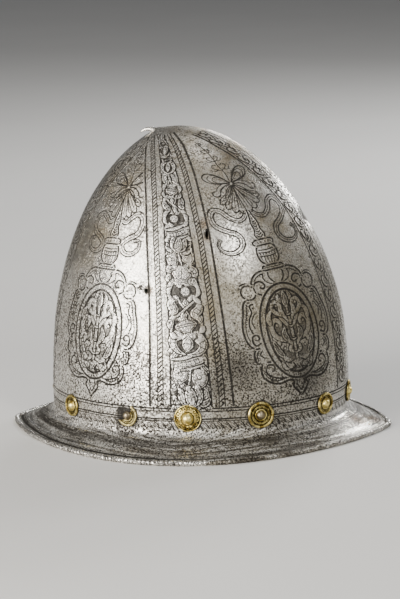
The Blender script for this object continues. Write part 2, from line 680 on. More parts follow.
# Etching: the design was drawn on the steel, bitten with acid, blackened and polished back.
# Lines are shallow dark grooves with bright banks, and figures stand bright on a bitten ground.
class Page:
    """A flat drawing in millimetres that is laid on the steel: across, and up from the base line."""

    def __init__(self, name, place, polish=1):
        self.name, self.place, self.polish = name, place, polish
        self.parts, self.faces, self.count = [], [], 0
        self.rise = 0


# An upright page is measured on so many rows up to page_top, and so many columns to each side
page_rows, page_half, page_reach, page_top = 250, 250, 125, 0.992
# Points are looked up this many at a time, which keeps the memory small
page_chunk = 4000


def upright_page(name, middle, forward):
    """A page round an upright line of the side. Across runs towards the front."""
    ts = np.linspace(0, page_top, page_rows)
    spread = np.linspace(-page_reach, page_reach, 2 * page_half + 1)
    rows = true_side(middle + forward * spread[None, :], ts[:, None])
    arcs = np.zeros((len(ts), len(spread)))
    arcs[:, 1:] = np.cumsum(np.linalg.norm(np.diff(rows, axis=1), axis=2), axis=1)
    arcs = (arcs - arcs[:, page_half:page_half + 1]) / mm
    ups = lengths_along(rows[:, page_half]) / mm

    def place(x, up):
        t = np.interp(up, ups, ts)
        low = np.clip(np.searchsorted(ts, t) - 1, 0, len(ts) - 2)
        share = (t - ts[low]) / (ts[1] - ts[0])
        turn = np.empty(len(x))
        for i in range(0, len(x), page_chunk):
            j = slice(i, i + page_chunk)
            row = arcs[low[j]] * (1 - share[j, None]) + arcs[low[j] + 1] * share[j, None]
            k = np.clip((row < x[j, None]).sum(axis=1) - 1, 0, len(spread) - 2)
            r = np.arange(len(k))
            turn[j] = spread[k] + (x[j] - row[r, k]) / (row[r, k + 1] - row[r, k]) * (spread[1] - spread[0])
        angle = middle + forward * turn
        return side_point(angle, t), side_normal(angle, t)

    return Page(name, place)


def lay(page, x, up, lift, grime):
    """Lays a grid of points on the page, with its lift off the steel in millimetres and its darkness."""
    x, up, lift, grime = np.broadcast_arrays(x, up, lift, grime)
    rows, columns = x.shape
    grime = np.where(grime < 0, page.polish * grime, grime)
    lift = np.where(lift < 0, lift, lift + page.rise)
    page.parts.append(np.stack([x, up, lift, grime], -1).reshape(-1, 4))
    first = page.count + (np.arange(rows - 1)[:, None] * columns + np.arange(columns - 1)[None, :]).ravel()
    page.faces.append(np.stack([first, first + 1, first + columns + 1, first + columns], -1))
    page.count += rows * columns


def points_at(s, long, path):
    """Points of a line, s along it."""
    return np.stack([np.interp(s, long, path[:, 0]), np.interp(s, long, path[:, 1])], -1)


def curve(points, step=0.8, closed=False):
    """A smooth line through the points, cut into even steps."""
    p = np.array(points, float)
    if len(p) == 2:
        dense = p
    else:
        if closed:
            ends = np.concatenate([p[-1:], p, p[:2]])
        else:
            ends = np.concatenate([2 * p[:1] - p[1:2], p, 2 * p[-1:] - p[-2:-1]])
        f = np.linspace(0, 1, 12, endpoint=False)[:, None]
        parts = []
        for a, b, c, d in zip(ends, ends[1:], ends[2:], ends[3:]):
            parts.append(0.5 * (
                2 * b + (c - a) * f + (2 * a - 5 * b + 4 * c - d) * f ** 2 + (3 * b - a - 3 * c + d) * f ** 3
            ))
        dense = np.concatenate(parts + [ends[-2:-1]])
    long = lengths_along(dense)
    return points_at(np.linspace(0, long[-1], max(3, int(long[-1] / step) + 1)), long, dense)


def ways_along(path, closed=False):
    """Unit steps along a line, and unit steps to its left."""
    way = np.gradient(path, axis=0)
    if closed:
        way[0] = way[-1] = way[-2] * 0.5 + way[1] * 0.5
    way /= np.maximum(np.linalg.norm(way, axis=1, keepdims=True), 1e-9)
    return way, np.stack([-way[:, 1], way[:, 0]], -1)


def oval(x, up, reach_x, reach_up, count, start=0.0):
    """Evenly spread points of an oval."""
    turns = np.linspace(start, start + 2 * math.pi, count, endpoint=False)
    return [(x + reach_x * math.cos(a), up + reach_up * math.sin(a)) for a in turns]


# Sections across a stroke: share of its half width, millimetres beside that, lift, and darkness,
# which below nothing means polished
hairline = ((-1, -0.55, -0.03, 0), (-1, -0.05, 0.05, 1), (1, 0.05, 0.05, 1), (1, 0.55, -0.03, 0))
groove = (
    (-1, -1.3, -0.03, 0), (-1, -0.55, 0.16, 0), (-1, -0.05, 0.05, 1),
    (1, 0.05, 0.05, 1), (1, 0.55, 0.16, 0), (1, 1.3, -0.03, 0),
)
raised = (
    (-1, -1.05, -0.03, 0.8), (-1, -0.95, 0.03, 1), (-1, -0.05, 0.03, 1), (-1, 0.2, 0.11, -0.2),
    (-0.4, 0, 0.13, -1), (0.4, 0, 0.13, -1),
    (1, -0.2, 0.11, -0.2), (1, 0.05, 0.03, 1), (1, 0.95, 0.03, 1), (1, 1.05, -0.03, 0.8),
)
# A stroke of width 1 is laid this much to each side of its line
half_share = 0.53


def stroke(page, points, width, section=hairline, closed=False, taper=0.0, widths=None, step=0.8):
    """Draws one stroke of the needle or one raised figure along a line."""
    path = curve(points, step, closed)
    if closed:
        path = np.concatenate([path, path[1:2]])
    across = ways_along(path, closed)[1]
    s = np.linspace(0, 1, len(path))
    half = np.full(len(path), half_share * width)
    if taper:
        half = half * (1 - taper + taper * np.sin(np.pi * np.clip(s, 0.02, 0.98)) ** 0.6)
    if widths is not None:
        half = np.interp(s, np.linspace(0, 1, len(widths)), widths) / 2
    share, beside, lift, grime = np.array(section).T
    offset = half[:, None] * share[None, :] + np.minimum(1, half[:, None] / 0.6) * beside[None, :]
    x = path[:, :1] + across[:, :1] * offset
    up = path[:, 1:] + across[:, 1:] * offset
    lay(page, x, up, lift, grime)
    return path


def ticks(page, path, length, spacing, side, width=0.42, lean=0.3):
    """Short shading strokes off one side of a line."""
    long = lengths_along(path)
    for i, s in enumerate(np.arange(spacing, long[-1] - 0.3, spacing)):
        p, q = points_at(s, long, path), points_at(s + 0.5, long, path)
        way = (q - p) / max(np.linalg.norm(q - p), 1e-9)
        off = side * np.array([-way[1], way[0]])
        reach = length * (0.75 + 0.25 * math.sin(2.4 * i))
        stroke(page, [p + 0.35 * off, p + reach * (off + lean * way)], width, taper=0.5, step=1.2)


def disc(page, x, up, r, lifts, grimes, tall=1.0, sides=13):
    """A round patch: lifts and darkness from its middle out."""
    q = np.linspace(0, 2 * math.pi, sides)[None, :]
    share = np.linspace(0.02, 1, len(lifts))[:, None]
    lay(page, x + r * share * np.cos(q), up + tall * r * share * np.sin(q),
        np.array(lifts)[:, None], np.array(grimes)[:, None])


def dot(page, x, up, r=0.45):
    disc(page, x, up, 1.5 * r, (0.06, 0.06, -0.03), (0.95, 0.9, 0), sides=8)


def boss(page, x, up, r):
    disc(page, x, up, r, (0.24, 0.21, 0.14, 0.03, 0.03, -0.03), (-1, -1, -0.3, 1, 1, 0.9))


def raised_figure(page, points, widths, inner=True, ribs=()):
    """A bright figure along a line over what was drawn before, with a dark contour, and ribs across it."""
    path = stroke(page, points, 1, raised, widths=widths)
    page.rise += 0.1
    way, side = ways_along(path)
    half = np.interp(np.linspace(0, 1, len(path)), np.linspace(0, 1, len(widths)), widths)[:, None] / 2
    if inner and half.max() > 2.0:
        first, last = len(path) // 7, len(path) - len(path) // 7
        for m in (1, -1):
            line = (path + m * side * np.maximum(half - 1.25, 0.3))[first:last]
            if len(line) > 2:
                stroke(page, line, 0.5)
    for share in ribs:
        i = min(int(share * len(path)), len(path) - 1)
        reach = max(half[i, 0] - 0.5, 0.4)
        stroke(page, [path[i] - side[i] * reach, path[i] + way[i] * 0.35, path[i] + side[i] * reach], 0.5)
    return path


def leaf(page, points, width, veins=True):
    """A broad leaf with a scalloped edge and a short middle rib."""
    width = 1.45 * width
    s = np.linspace(0, 1, 15)
    lobes = 0.86 + 0.14 * np.abs(np.cos(s * math.pi * 3.2))
    widths = width * (np.sin(np.pi * (0.05 + 0.91 * s ** 0.8)) ** 0.7) * lobes
    path = raised_figure(page, points, widths, inner=width > 3.2)
    if veins and width > 4.2:
        stroke(page, path[len(path) // 5:-(len(path) // 3) or None], 0.35)


def scroll(page, points, width):
    """A tendril that thickens towards the end that curls in."""
    width = 1.35 * width
    widths = [0.5 * width, 0.85 * width, width, 0.9 * width, 0.8 * width]
    raised_figure(page, points, widths, inner=False)


def patch(page, left, right, low, high, grime, rows=40, columns=9, lift=0.035):
    """A bitten ground between two edges, given as functions of the height."""
    up = np.linspace(low, high, rows)
    share = np.linspace(0, 1, columns)
    x = left(up)[:, None] + (right(up) - left(up))[:, None] * share[None, :]
    edge = np.where((share == 0) | (share == 1), -0.03, lift)
    lay(page, x, up[:, None], edge, np.where(edge < 0, 0.3, 1.0) * grime)


def along(knots):
    """A value read off against the height."""
    ups, values = zip(*knots)
    return lambda up: np.interp(up, ups, values)


def framed_trophy(page, lean, squash, knot, ribbon, foliage_top):
    """The plain panels' design: an oval in a strapwork frame, a vase, two ribbons and a hanging bunch."""
    def at(points, mirror=1):
        return [(lean(up) + mirror * squash * x, up) for x, up in points]

    # Bitten ground inside the oval, and the frame's two rings
    oval_up, outer_x, outer_up, inner_x, inner_up = 74.4, 24.6, 36.3, 19.8, 31.6
    q = np.linspace(0, 2 * math.pi, 49)[None, :]
    share = np.linspace(0.02, 1, 15)[:, None]
    ups = oval_up + inner_up * share * np.sin(q)
    lay(page, lean(ups) + squash * inner_x * share * np.cos(q), ups, 0.035, 0.62)
    stroke(page, at(oval(0, oval_up, inner_x, inner_up, 40)), 1.2, groove, closed=True)
    stroke(page, at(oval(0, oval_up, outer_x, outer_up, 40)), 1.1, groove, closed=True)
    # Foliage that grows out of a small urn fills the oval, and stays as dull as the panel
    page.polish = 0.2
    for m in (1, -1):
        page.rise = 0
        for points, width in (
            (((0.8, 55), (6, 52), (11, 55.5), (12.5, 61), (9.5, 65), (6.2, 63), (7, 60)), 2.6),
            (((0.8, 63), (5, 67), (10.5, 69), (15, 73), (16, 80), (12.2, 84), (8.7, 81.5), (9.6, 78)), 2.8),
            (((0.6, 80), (4, 86), (9, 88.5), (12, 93), (9.5, 97.5), (6, 96), (6.3, 93)), 2.3),
        ):
            scroll(page, at(points, m), width)
        for points, width in (
            (((10.5, 55), (14.5, 60.5), (17.2, 68.5)), 3.2), (((4, 66.5), (7, 72), (5.6, 77.5)), 3.2),
            (((1.5, 51.5), (6, 47.8), (10.2, 50.6)), 2.8), (((11.5, 69.5), (13.6, 65.2), (16.9, 71)), 2.2),
            (((16.4, 80), (16.6, 86.5), (13.2, 91.5)), 2.8), (((3.6, 86), (5.6, 90.5), (4.2, 95)), 2.6),
            (((1.2, 96), (4.9, 99.5), (4.2, 103.5)), 2.6), (((2.4, 77.5), (4.4, 81.5), (8.2, 85.4)), 2.2),
            (((1.6, 57.5), (4.4, 60.5), (2.2, 64.5)), 2.2), (((8.5, 98.5), (10.5, 95.5), (13, 93)), 2.0),
            (((8.2, 45.6), (11.2, 47.6), (13.4, 51.6)), 2.2),
        ):
            page.rise = 0.11 + 0.1 * (width > 2.5)
            leaf(page, at(points, m), width)
        page.rise = 0.3
        for x, up, r in ((8.9, 61.8, 1.7), (11.4, 79.6, 1.9), (8.4, 94.4, 1.5)):
            boss(page, *at([(x, up)], m)[0], r)
    raised_figure(page, at([(0, 50), (0, 60), (0, 75), (0, 90), (0, 97)]), [2.2, 1.6, 2.4, 1.5, 1.2])
    for up in (58, 68, 78, 87):
        raised_figure(page, at([(-1.8, up), (0, up - 0.7), (1.8, up)]), [0.7, 1.2, 0.7], inner=False)
    leaf(page, at([(0, 92), (0, 98), (0, 104.5)]), 3.6)
    raised_figure(page, at([(0, 44.4), (0, 47), (0, 50.4)]), [6.5, 3.2, 3.4, 6.4, 7.4])
    page.rise = 0

    for m in (1, -1):
        # Outer strapwork: bold contours, with a finer parallel line and shading inside them
        for points, turned_in in (
            (((0, 24.5), (3.4, 28.4), (6.6, 32.5), (5.2, 36.2), (10, 37.4), (17, 36), (23.5, 37),
              (29.3, 41.4), (30.8, 47.5), (29.6, 52.2)), 2.3),
            (((29.6, 52.2), (33.2, 54.2), (34, 60), (31.8, 64), (28.4, 64.6)), 2.1),
            (((30.4, 64.2), (34.8, 66.2), (37.6, 71.5), (38.3, 79), (37, 86), (35, 91.5), (33.2, 98),
              (30.4, 101.6), (26.6, 102.6)), 2.4),
            (((22, 111.5), (20.8, 115.8), (17.4, 119.9), (12.6, 122.2), (8, 122.2)), 2.2),
        ):
            path = stroke(page, at(points, m), 1.05, groove)
            inside = path + m * turned_in * ways_along(path)[1]
            inside = inside[len(path) // 5:-(len(path) // 9)]
            stroke(page, inside, 0.55)
            ticks(page, inside[len(inside) // 3:], 1.6, 1.8, m, 0.55)
        # Volutes, folds and dark corners between the straps
        for points, width in (
            (((26.6, 68.6), (30.6, 66.9), (33, 69.8), (32, 74), (28.6, 74.8), (27.4, 72),
              (29.4, 70.6)), 0.85),
            (((31.2, 76), (32.6, 82), (31, 88), (28.2, 92.4), (28.4, 97.6), (25, 98.6)), 0.75),
            (((28.6, 80), (30, 85), (27.6, 89.6), (25.6, 91.4)), 0.6),
            (((24.6, 42.4), (27.2, 46.4), (25, 51), (20.4, 50), (20.4, 46.4), (22.8, 46.2)), 0.85),
            (((7, 40.2), (14, 39.6), (19.6, 40.6), (24.6, 42.4)), 0.7),
            (((26, 56.4), (29.4, 59.4), (27.4, 62.4)), 0.65),
            (((16, 104.2), (20.4, 107.2), (19.8, 113), (15.2, 115), (11.8, 112), (13.4, 109),
              (16.2, 110.4)), 0.85),
            (((2.2, 111.4), (5.4, 115), (6.4, 118.6), (5.6, 122)), 0.75),
            (((4.2, 111.2), (8.6, 113), (11, 116.6), (10.2, 120)), 0.6),
            (((0.6, 41), (3.4, 36.5), (2.6, 32), (0, 28.2)), 0.65),
        ):
            stroke(page, at(points, m), 1.1 * width, groove if width > 0.8 else hairline)
        for x, up, size in (
            (30.2, 71.2, 1.5), (23.4, 53.2, 2.3), (9.4, 109.4, 1.9), (28.6, 100.2, 1.8), (29.6, 63, 1.5),
            (13.8, 43.2, 1.6), (26.4, 95.8, 1.3),
        ):
            disc(page, *at([(x, up)], m)[0], size, (0.06, 0.06, -0.03), (1, 1, 0.3), tall=0.7, sides=7)
        # Dotted ball at the shoulder
        ball = at([(26, 107.6)], m)[0]
        stroke(page, oval(*ball, squash * 5.6, 5.6, 12), 0.95, groove, closed=True)
        stroke(page, at([(22, 112.3), (26, 114.9), (31.2, 113.8)], m), 0.85)
        for x, up in oval(*ball, 2.6, 2.6, 5, 0.5):
            dot(page, x, up, 0.55)
        for x, up in (
            (30.6, 57), (31.2, 60.4), (25.6, 45), (28, 49.6), (34, 76), (35, 82), (33, 91), (14.6, 118.4),
            (18.2, 116.8), (11, 119.6), (31.2, 96.8), (34.8, 71.8), (17.6, 112.2), (31, 79),
        ):
            dot(page, *at([(x, up)], m)[0], 0.5)

    # Vase: foot, bowl with bands, ruffled lip and a scaled spire
    for m in (1, -1):
        for points, width in (
            (((0, 122.4), (7.9, 122.2), (8.5, 124), (7.2, 125.6), (0, 126)), 0.95),
            (((4, 126), (7.6, 130), (8.4, 135), (7.4, 139.6), (5.2, 141.6)), 1.0),
            (((0, 141.8), (5.4, 141.8), (7.9, 142.6), (8.3, 144.6), (5.4, 146.2), (0, 146.4)), 0.9),
            (((2.8, 146.6), (4, 150), (2.5, 154.6), (2.8, 159.4), (1.6, 165), (0.9, 170.5)), 0.85),
        ):
            stroke(page, at(points, m), width, groove)
        for up, half in ((133.2, 7.8), (136, 8), (138.2, 7.8)):
            stroke(page, at([(0, up - 0.6), (half, up + 0.3)], m), 0.62)
        for x in (1.2, 3.6, 6):
            stroke(page, at([(0.8 * x, 127.2), (x, 130), (x, 132.8)], m), 0.5)
            stroke(page, at([(x, 134), (x, 135.6)], m), 0.6)
        stroke(page, at([(0, 124.1), (7.6, 124.1)], m), 0.5)
        for x in (1.5, 4, 6.4):
            stroke(page, at([(x, 142.6), (x + 0.5, 145.6)], m), 0.55)
    for i, up in enumerate(np.arange(148.6, 168, 2.1)):
        half = 2.7 - 0.09 * (up - 149)
        stroke(page, at([(-half, up + 1.1), (0, up - 0.6), (half, up + 1.1)]), 0.62)
        if i % 2:
            dot(page, *at([(0, up + 0.9)])[0], 0.36)

    # Ribbons: lines side by side that flow out from under the bunch, hatched at their cut ends
    for m in (1, -1):
        middle = curve(at(ribbon, m), 1.2)
        way, side = ways_along(middle)
        s = np.linspace(0, 1, len(middle))[:, None]
        swing = 2.1 * (0.55 + 0.45 * np.sin(np.pi * np.clip(s * 1.1, 0, 1)) ** 0.5)
        for offset, width in ((-1, 0.8), (0.1, 0.46), (1, 0.8)):
            stroke(page, middle + side * swing * offset, width, taper=0.25, step=1.0)
        end = middle[-1]
        stroke(page, [end - side[-1] * 2, end + way[-1] * 0.8, end + side[-1] * 2], 0.6)
        for near in (0.2, 0.45, 0.7, 0.95):
            place = mix(end, middle[-5], near)
            stroke(page, [place - side[-1] * 1.4, place + side[-1] * 1.4], 0.36)

    # Hanging bunch of petals under a bow, and small scrolls above
    def hung(points, m=1):
        return [(lean(knot) + m * squash * x, knot + up) for x, up in points]

    def from_knot(turn, r):
        return (r * math.sin(math.radians(turn)), -r * math.cos(math.radians(turn)))

    edges = np.linspace(-52, 52, 9)
    reach = 17.5 + 6.5 * np.cos(np.radians(1.6 * edges))
    for i, turn in enumerate(edges):
        bend = 5 * math.sin(3 * i)
        stroke(page, hung([from_knot(turn * 0.4, 2), from_knot(turn * 0.85 + bend, 0.5 * reach[i]),
                           from_knot(turn, reach[i])]), 0.6, taper=0.3)
        if i:
            middle_turn, far = 0.5 * (edges[i - 1] + turn), 0.5 * (reach[i - 1] + reach[i])
            stroke(page, hung([from_knot(edges[i - 1], reach[i - 1]), from_knot(middle_turn - 2, far + 2.6),
                               from_knot(middle_turn + 3, far + 2.4), from_knot(turn, reach[i])]), 0.72)
            rib = [from_knot(0.8 * middle_turn, 0.4 * far), from_knot(middle_turn, 0.95 * far)]
            stroke(page, hung(rib), 0.42)
    for m in (1, -1):
        for outline, width in (
            (((1.2, -1), (6, -1.4), (10.5, -4.6), (13, -8.6), (16.8, -8.2), (17.2, -4.8),
              (14.6, -4.2)), 0.72),
            (((1, -0.4), (6.5, 0.8), (11.6, -1.6), (14.2, -4.6)), 0.46),
            (((1.4, -2), (5, -4), (8.4, -8), (10.8, -12.6), (14, -13)), 0.56),
        ):
            stroke(page, hung(outline, m), width)
        bow = np.array((
            (0.6, 0.4), (4.6, 6.4), (9.4, 11), (14.2, 12.4), (17.6, 9.2), (15.4, 4.4), (10, 1.8), (4, 0.8),
            (0.6, 0),
        ))
        for size, width in ((1, 0.78), (0.8, 0.48), (0.6, 0.48)):
            loop = bow * size + np.array((2.2, 1.5)) * (1 - size)
            stroke(page, hung(loop.tolist(), m), width)
        stroke(page, hung([(2, 1.6), (6, 4.8), (9, 7.6)], m), 0.34)
        top = foliage_top - knot
        for k, up in enumerate(np.linspace(13, top - 5, 4)):
            size = 4.8 * (1 - 0.2 * k)
            stroke(page, hung([(0.3, up - 0.5), (0.7 * size, up + 0.2 * size), (1.1 * size, up + 0.8 * size),
                               (0.7 * size, up + 1.2 * size), (0.35 * size, up + 0.9 * size)], m), 0.5)
            stroke(page, hung([(0.5 * size, up), (1.2 * size, up - 0.1 * size),
                               (1.5 * size, up + 0.4 * size)], m), 0.42)
            dot(page, *hung([(0.8 * size, up + 0.75 * size)], m)[0], 0.36)
    stroke(page, hung([(0, 2), (0.6, 9), (-0.4, 18), (0.4, 26), (0, top)]), 0.55)
    disc(page, *hung([(0, -0.4)])[0], 2.1, (0.3, 0.26, 0.05, -0.03), (0, 0.2, 1, 0))


def trophy(page, kind, low, high, field, hand):
    """One pile of arms: across in shares of the field's half width, up in shares of the row."""
    tall = high - low
    page.rise = 0.1
    lean, spread = math.radians(11) * hand, 1.12

    def at(points, m=1):
        placed = []
        for x, y in points:
            edge = float(field(low + y * tall))
            across, along_up = hand * m * x * edge, spread * (y - 0.5) * tall
            across, along_up = (across * math.cos(lean) - along_up * math.sin(lean),
                                across * math.sin(lean) + along_up * math.cos(lean))
            placed.append((min(max(across, -0.95 * edge), 0.95 * edge), (low + high) / 2 + along_up))
        return placed

    def figure(points, widths, m=1, inner=True, ribs=()):
        raised_figure(page, at(points, m), widths, inner, ribs)

    wide = 1.12 * float(field((low + high) / 2))
    small = min(wide, 0.9 * tall)
    if kind == "shields":
        for m, size in ((1, 1), (-1, 0.88)):
            figure([(0.5, 0.02), (0.54, 0.3), (0.5, 0.62), (0.44, 0.98)],
                   [0.18 * wide, 0.66 * wide * size, 0.84 * wide * size, 0.8 * wide * size, 0.4 * wide], m)
            boss(page, *at([(0.5, 0.56)], m)[0], 0.13 * wide + 0.2)
            for y in (0.3, 0.8):
                dot(page, *at([(0.5, y)], m)[0], 0.42)
        figure([(0.0, 0.08), (-0.02, 0.5), (0.02, 0.95)], [0.4, 1.5, 0.5], inner=False)
        figure([(0.93, 0.66), (0.97, 0.98)], [0.4, 1.6], inner=False)
    if kind == "drum":
        figure([(-0.8, 0.42), (0, 0.34), (0.8, 0.48)],
               [0.5 * tall, 0.6 * tall, 0.62 * tall, 0.5 * tall], ribs=(0.12, 0.26, 0.4, 0.54, 0.68, 0.82))
        figure([(-0.86, 0.86), (-0.3, 0.78), (0.25, 0.84), (0.85, 0.94)], [1.0, 2.4, 2.2, 1.0])
        figure([(-0.6, 0.03), (0, -0.02), (0.7, 0.05)], [0.8, 1.6, 0.8], inner=False)
    if kind == "target":
        middle = at([(0.12, 0.5)])[0]
        r = 0.46 * min(tall, 1.5 * wide)
        disc(page, *middle, r, (0.16, 0.15, 0.14, 0.13, 0.11, 0.03, 0.03, -0.03),
             (-1, -1, -1, -1, -0.2, 1, 1, 0.9), sides=21)
        page.rise += 0.12
        stroke(page, oval(*middle, 0.62 * r, 0.62 * r, 12), 0.5, closed=True)
        for x, up in oval(*middle, 0.32 * r, 0.32 * r, 6, 0.3):
            disc(page, x, up, 0.6, (0.07, 0.07, -0.03), (0.9, 0.9, 0.3), sides=7)
        for m, y in ((-1, 0.1), (-1, 0.9), (1, 0.06), (1, 0.95)):
            far = y - 0.5
            figure([(0.62 * m, 0.5 + 0.98 * far), (0.86 * m, 0.5 + 0.66 * far), (0.94 * m, 0.5)],
                   [0.5, 0.3 * small, 0.18 * small], inner=False)
    if kind == "vase":
        girths = [wide * share for share in (0.9, 0.36, 0.5, 1.0, 1.16, 0.9, 0.42, 0.9)]
        figure([(0, 0.02), (0, 0.5), (0, 0.98)], girths, ribs=(0.2, 0.5, 0.62, 0.84))
        for m in (1, -1):
            figure([(0.6, 0.06), (0.84, 0.18), (0.9, 0.36)], [0.4, 0.3 * wide, 0.2 * wide], m, inner=False)
            figure([(0.84, 0.5), (0.88, 0.76), (0.62, 0.98)], [0.5, 0.3 * wide, 0.34 * wide, 0.5], m)
    if kind == "banners":
        for m in (1, -1):
            figure([(-0.42, 0.0), (0.5, 0.98)], [1.3, 1.3, 1.3], m, inner=False)
            figure([(0.78, 0.1), (0.62, 0.32), (0.8, 0.56), (0.86, 0.84)],
                   [0.2 * wide, 0.48 * wide, 0.46 * wide, 0.3 * wide], m, ribs=(0.35, 0.6))
        figure([(0, 0.62), (0, 0.82), (0.04, 1.0)], [0.5, 0.34 * wide, 0.5])
        figure([(0, 0.0), (0, 0.16), (0, 0.34)], [0.28 * wide, 0.34 * wide, 0.5])
    if kind == "horns":
        for m in (1, -1):
            figure([(0.06, 0.04), (0.46, 0.14), (0.8, 0.42), (0.82, 0.72), (0.56, 0.96)],
                   [0.8, 0.2 * wide, 0.34 * wide, 0.42 * wide, 0.5 * wide], m, ribs=(0.4, 0.6, 0.82))
            figure([(0.9, 0.02), (0.92, 0.2)], [0.3 * wide, 0.6], m, inner=False)
        figure([(0, 0.18), (0, 0.5), (0, 0.96)], [0.8, 0.52 * wide, 0.5 * wide, 0.7], ribs=(0.5,))
    if kind == "breastplate":
        girths = [wide * share for share in (1.0, 0.62, 0.8, 1.12, 1.2, 0.8, 0.5)]
        figure([(0, 0.02), (0.02, 0.5), (0, 0.98)], girths, ribs=(0.1, 0.24))
        stroke(page, at([(0.02, 0.28), (0.04, 0.8)]), 0.5)
        for m in (1, -1):
            figure([(0.5, 0.92), (0.8, 0.8), (0.88, 0.52)],
                   [0.4 * wide, 0.4 * wide, 0.26 * wide], m, ribs=(0.35, 0.65))
            figure([(0.62, 0.06), (0.84, 0.16), (0.78, 0.4)], [0.5, 0.34 * wide, 0.16 * wide], m)
    if kind == "husks":
        for start, middle, tip, size in (
            (0.2, (0.66, 0.26), (0.84, 0.66), 0.5), (0.3, (0.62, 0.02), (0.92, 0.2), 0.36),
            (0.1, (0.36, 0.42), (0.46, 0.96), 0.56), (0, (0, 0.5), (0, 0.98), 0.66),
        ):
            for m in (1, -1) if start else (1,):
                leaf(page, at([(start, 0.02), middle, tip], m), size * small / 1.45)


def upright_line(page, x, ups, width, section=hairline):
    stroke(page, np.stack([x, ups], -1), width, section, step=2.2)


def side_band(page, height):
    """The upright band on each flank: a field of trophies between two twisted cords."""
    field = along(((22, 15.5), (30, 15.3), (100, 12.5), (150, 10), (200, 6), (236, 2.2)))
    outer = along(((22, 31.8), (40, 31), (100, 27), (150, 24), (200, 19), (225, 15), (243, 9)))
    left, right = (lambda up: -field(up)), field
    patch(page, left, right, 22, 236, 0.9, rows=110, columns=9)
    ups = np.linspace(21.5, 240, 60)
    for m in (1, -1):
        upright_line(page, m * outer(ups), ups, 1.15, groove)
        for share, width in ((0.0, 0.95), (0.36, 0.6), (0.62, 0.6)):
            upright_line(page, m * mix(field(ups), outer(ups), share), ups, width)
        up = 23.0
        while up < 238:
            inner, edge = mix(field(up), outer(up), 0.40), mix(field(up), outer(up), 0.585)
            low_x, high_x = sorted((m * inner, m * edge))
            stroke(page, [(low_x, up - 1.5), (low_x + 0.35 * (high_x - low_x), up - 0.3),
                          (low_x + 0.65 * (high_x - low_x), up + 0.3), (high_x, up + 1.5)],
                   0.7 * (edge - inner) / 2.8, taper=0.3, step=0.9)
            up += 3.7 * mix(0.62, 1, (240 - up) / 218)
    rows = (
        ("husks", 15), ("shields", 13.5), ("drum", 10), ("horns", 14), ("vase", 14), ("banners", 13),
        ("target", 12.5), ("breastplate", 13), ("shields", 11.5), ("husks", 10.5), ("drum", 9),
        ("target", 11.5), ("banners", 11), ("vase", 11), ("shields", 9.5), ("horns", 9.5), ("drum", 7),
        ("husks", 8), ("target", 7), ("shields", 7),
    )
    low, hand = 23.0, 1
    # Small leaves lie under the rows and fill the gaps between them
    for kind, tall in rows:
        for share, lean in ((-0.78, 1), (-0.28, -1), (0.3, 1), (0.8, -1)):
            x, size = share * float(field(low)), 0.17 * float(field(low)) + 0.5
            leaf(page, [(x - 0.9 * lean * size, low - 1.3 * size), (x + 0.3 * lean * size, low),
                        (x + lean * size, low + 1.3 * size)], size, veins=False)
            page.rise = 0
        low += tall
    low = 23.0
    for kind, tall in rows:
        trophy(page, kind, low, low + tall - 0.4, field, hand)
        low, hand = low + tall, -hand
    page.rise = 0
    stroke(page, [(0, low), (0, height - 12)], 1.0, raised)


def running_scroll(page, line, half, low, high, pitch):
    """A wave of tendril with a leaf or a curl in each bay, on bitten ground."""
    left, right = (lambda u: line(u) - half(u)), (lambda u: line(u) + half(u))
    patch(page, left, right, low, high, 0.42, rows=90, columns=5)
    ups = np.linspace(low + 2, high - 2, int((high - low) / 2.5))
    wave = np.sin((ups - low) / pitch * math.pi)
    stroke(page, np.stack([line(ups) + 0.5 * half(ups) * wave, ups], -1), 1.2, raised, step=1.3)
    bays = int((high - low) / pitch)
    for i in range(bays):
        up = low + (i + 0.5) * pitch
        m = -1 if i % 2 else 1
        x, h = float(line(up)), float(half(up))
        page.rise = 0.1
        scroll(page, [(x + m * 0.45 * h, up - 0.35 * pitch), (x - m * 0.35 * h, up - 0.25 * pitch),
                      (x - m * 0.72 * h, up + 0.1 * pitch), (x - m * 0.3 * h, up + 0.26 * pitch),
                      (x - m * 0.12 * h, up + 0.02 * pitch)], 0.24 * h + 0.5)
        leaf(page, [(x + m * 0.4 * h, up + 0.2 * pitch), (x + m * 0.9 * h, up + 0.35 * pitch),
                    (x + m * 0.8 * h, up - 0.1 * pitch)], 0.32 * h + 0.5, veins=False)
    page.rise = 0


def keel_band(page, outer, low, high):
    """The band over the keel at front or rear: two running scrolls beside a plain crest."""
    page.polish = 0.15
    ups = np.linspace(21.5, high, 60)
    for m in (1, -1):
        upright_line(page, m * outer(ups), ups, 1.0, groove)
        upright_line(page, m * (outer(ups) - 2.6), ups, 0.5)
        upright_line(page, m * 0.48 * outer(ups), ups, 0.7)
        middle = (lambda u, m=m: m * (0.74 * outer(u) - 1.3))
        running_scroll(page, middle, (lambda u: 0.26 * outer(u) - 1.6), low, high, 12.5)
        upright_line(page, m * 0.3 * outer(ups), ups, 0.45)


# Angles, and how far round the foot of the side each one is, in millimetres, measured 7 mm up
turns_round = np.linspace(-190, 190, 1521)
foot_arcs = lengths_along(true_side(turns_round, side_at(turns_round, 7 * mm))) / mm
foot_arcs -= np.interp(0, turns_round, foot_arcs)


def base_place(x, up):
    """The page round the foot of the side: across is the way round."""
    angle = np.interp(x, foot_arcs, turns_round)
    t = side_at(angle, up * mm)
    return side_point(angle, t), side_normal(angle, t)


# The rosettes cover parts of the foot band, and have left their marks on it
rosette_d, wide_rosette_d = 17 * mm, 20.5 * mm
wide_ones, bossed_ones, broken_one = ("right_2", "left_2"), ("right_3", "left_3"), "right_4"


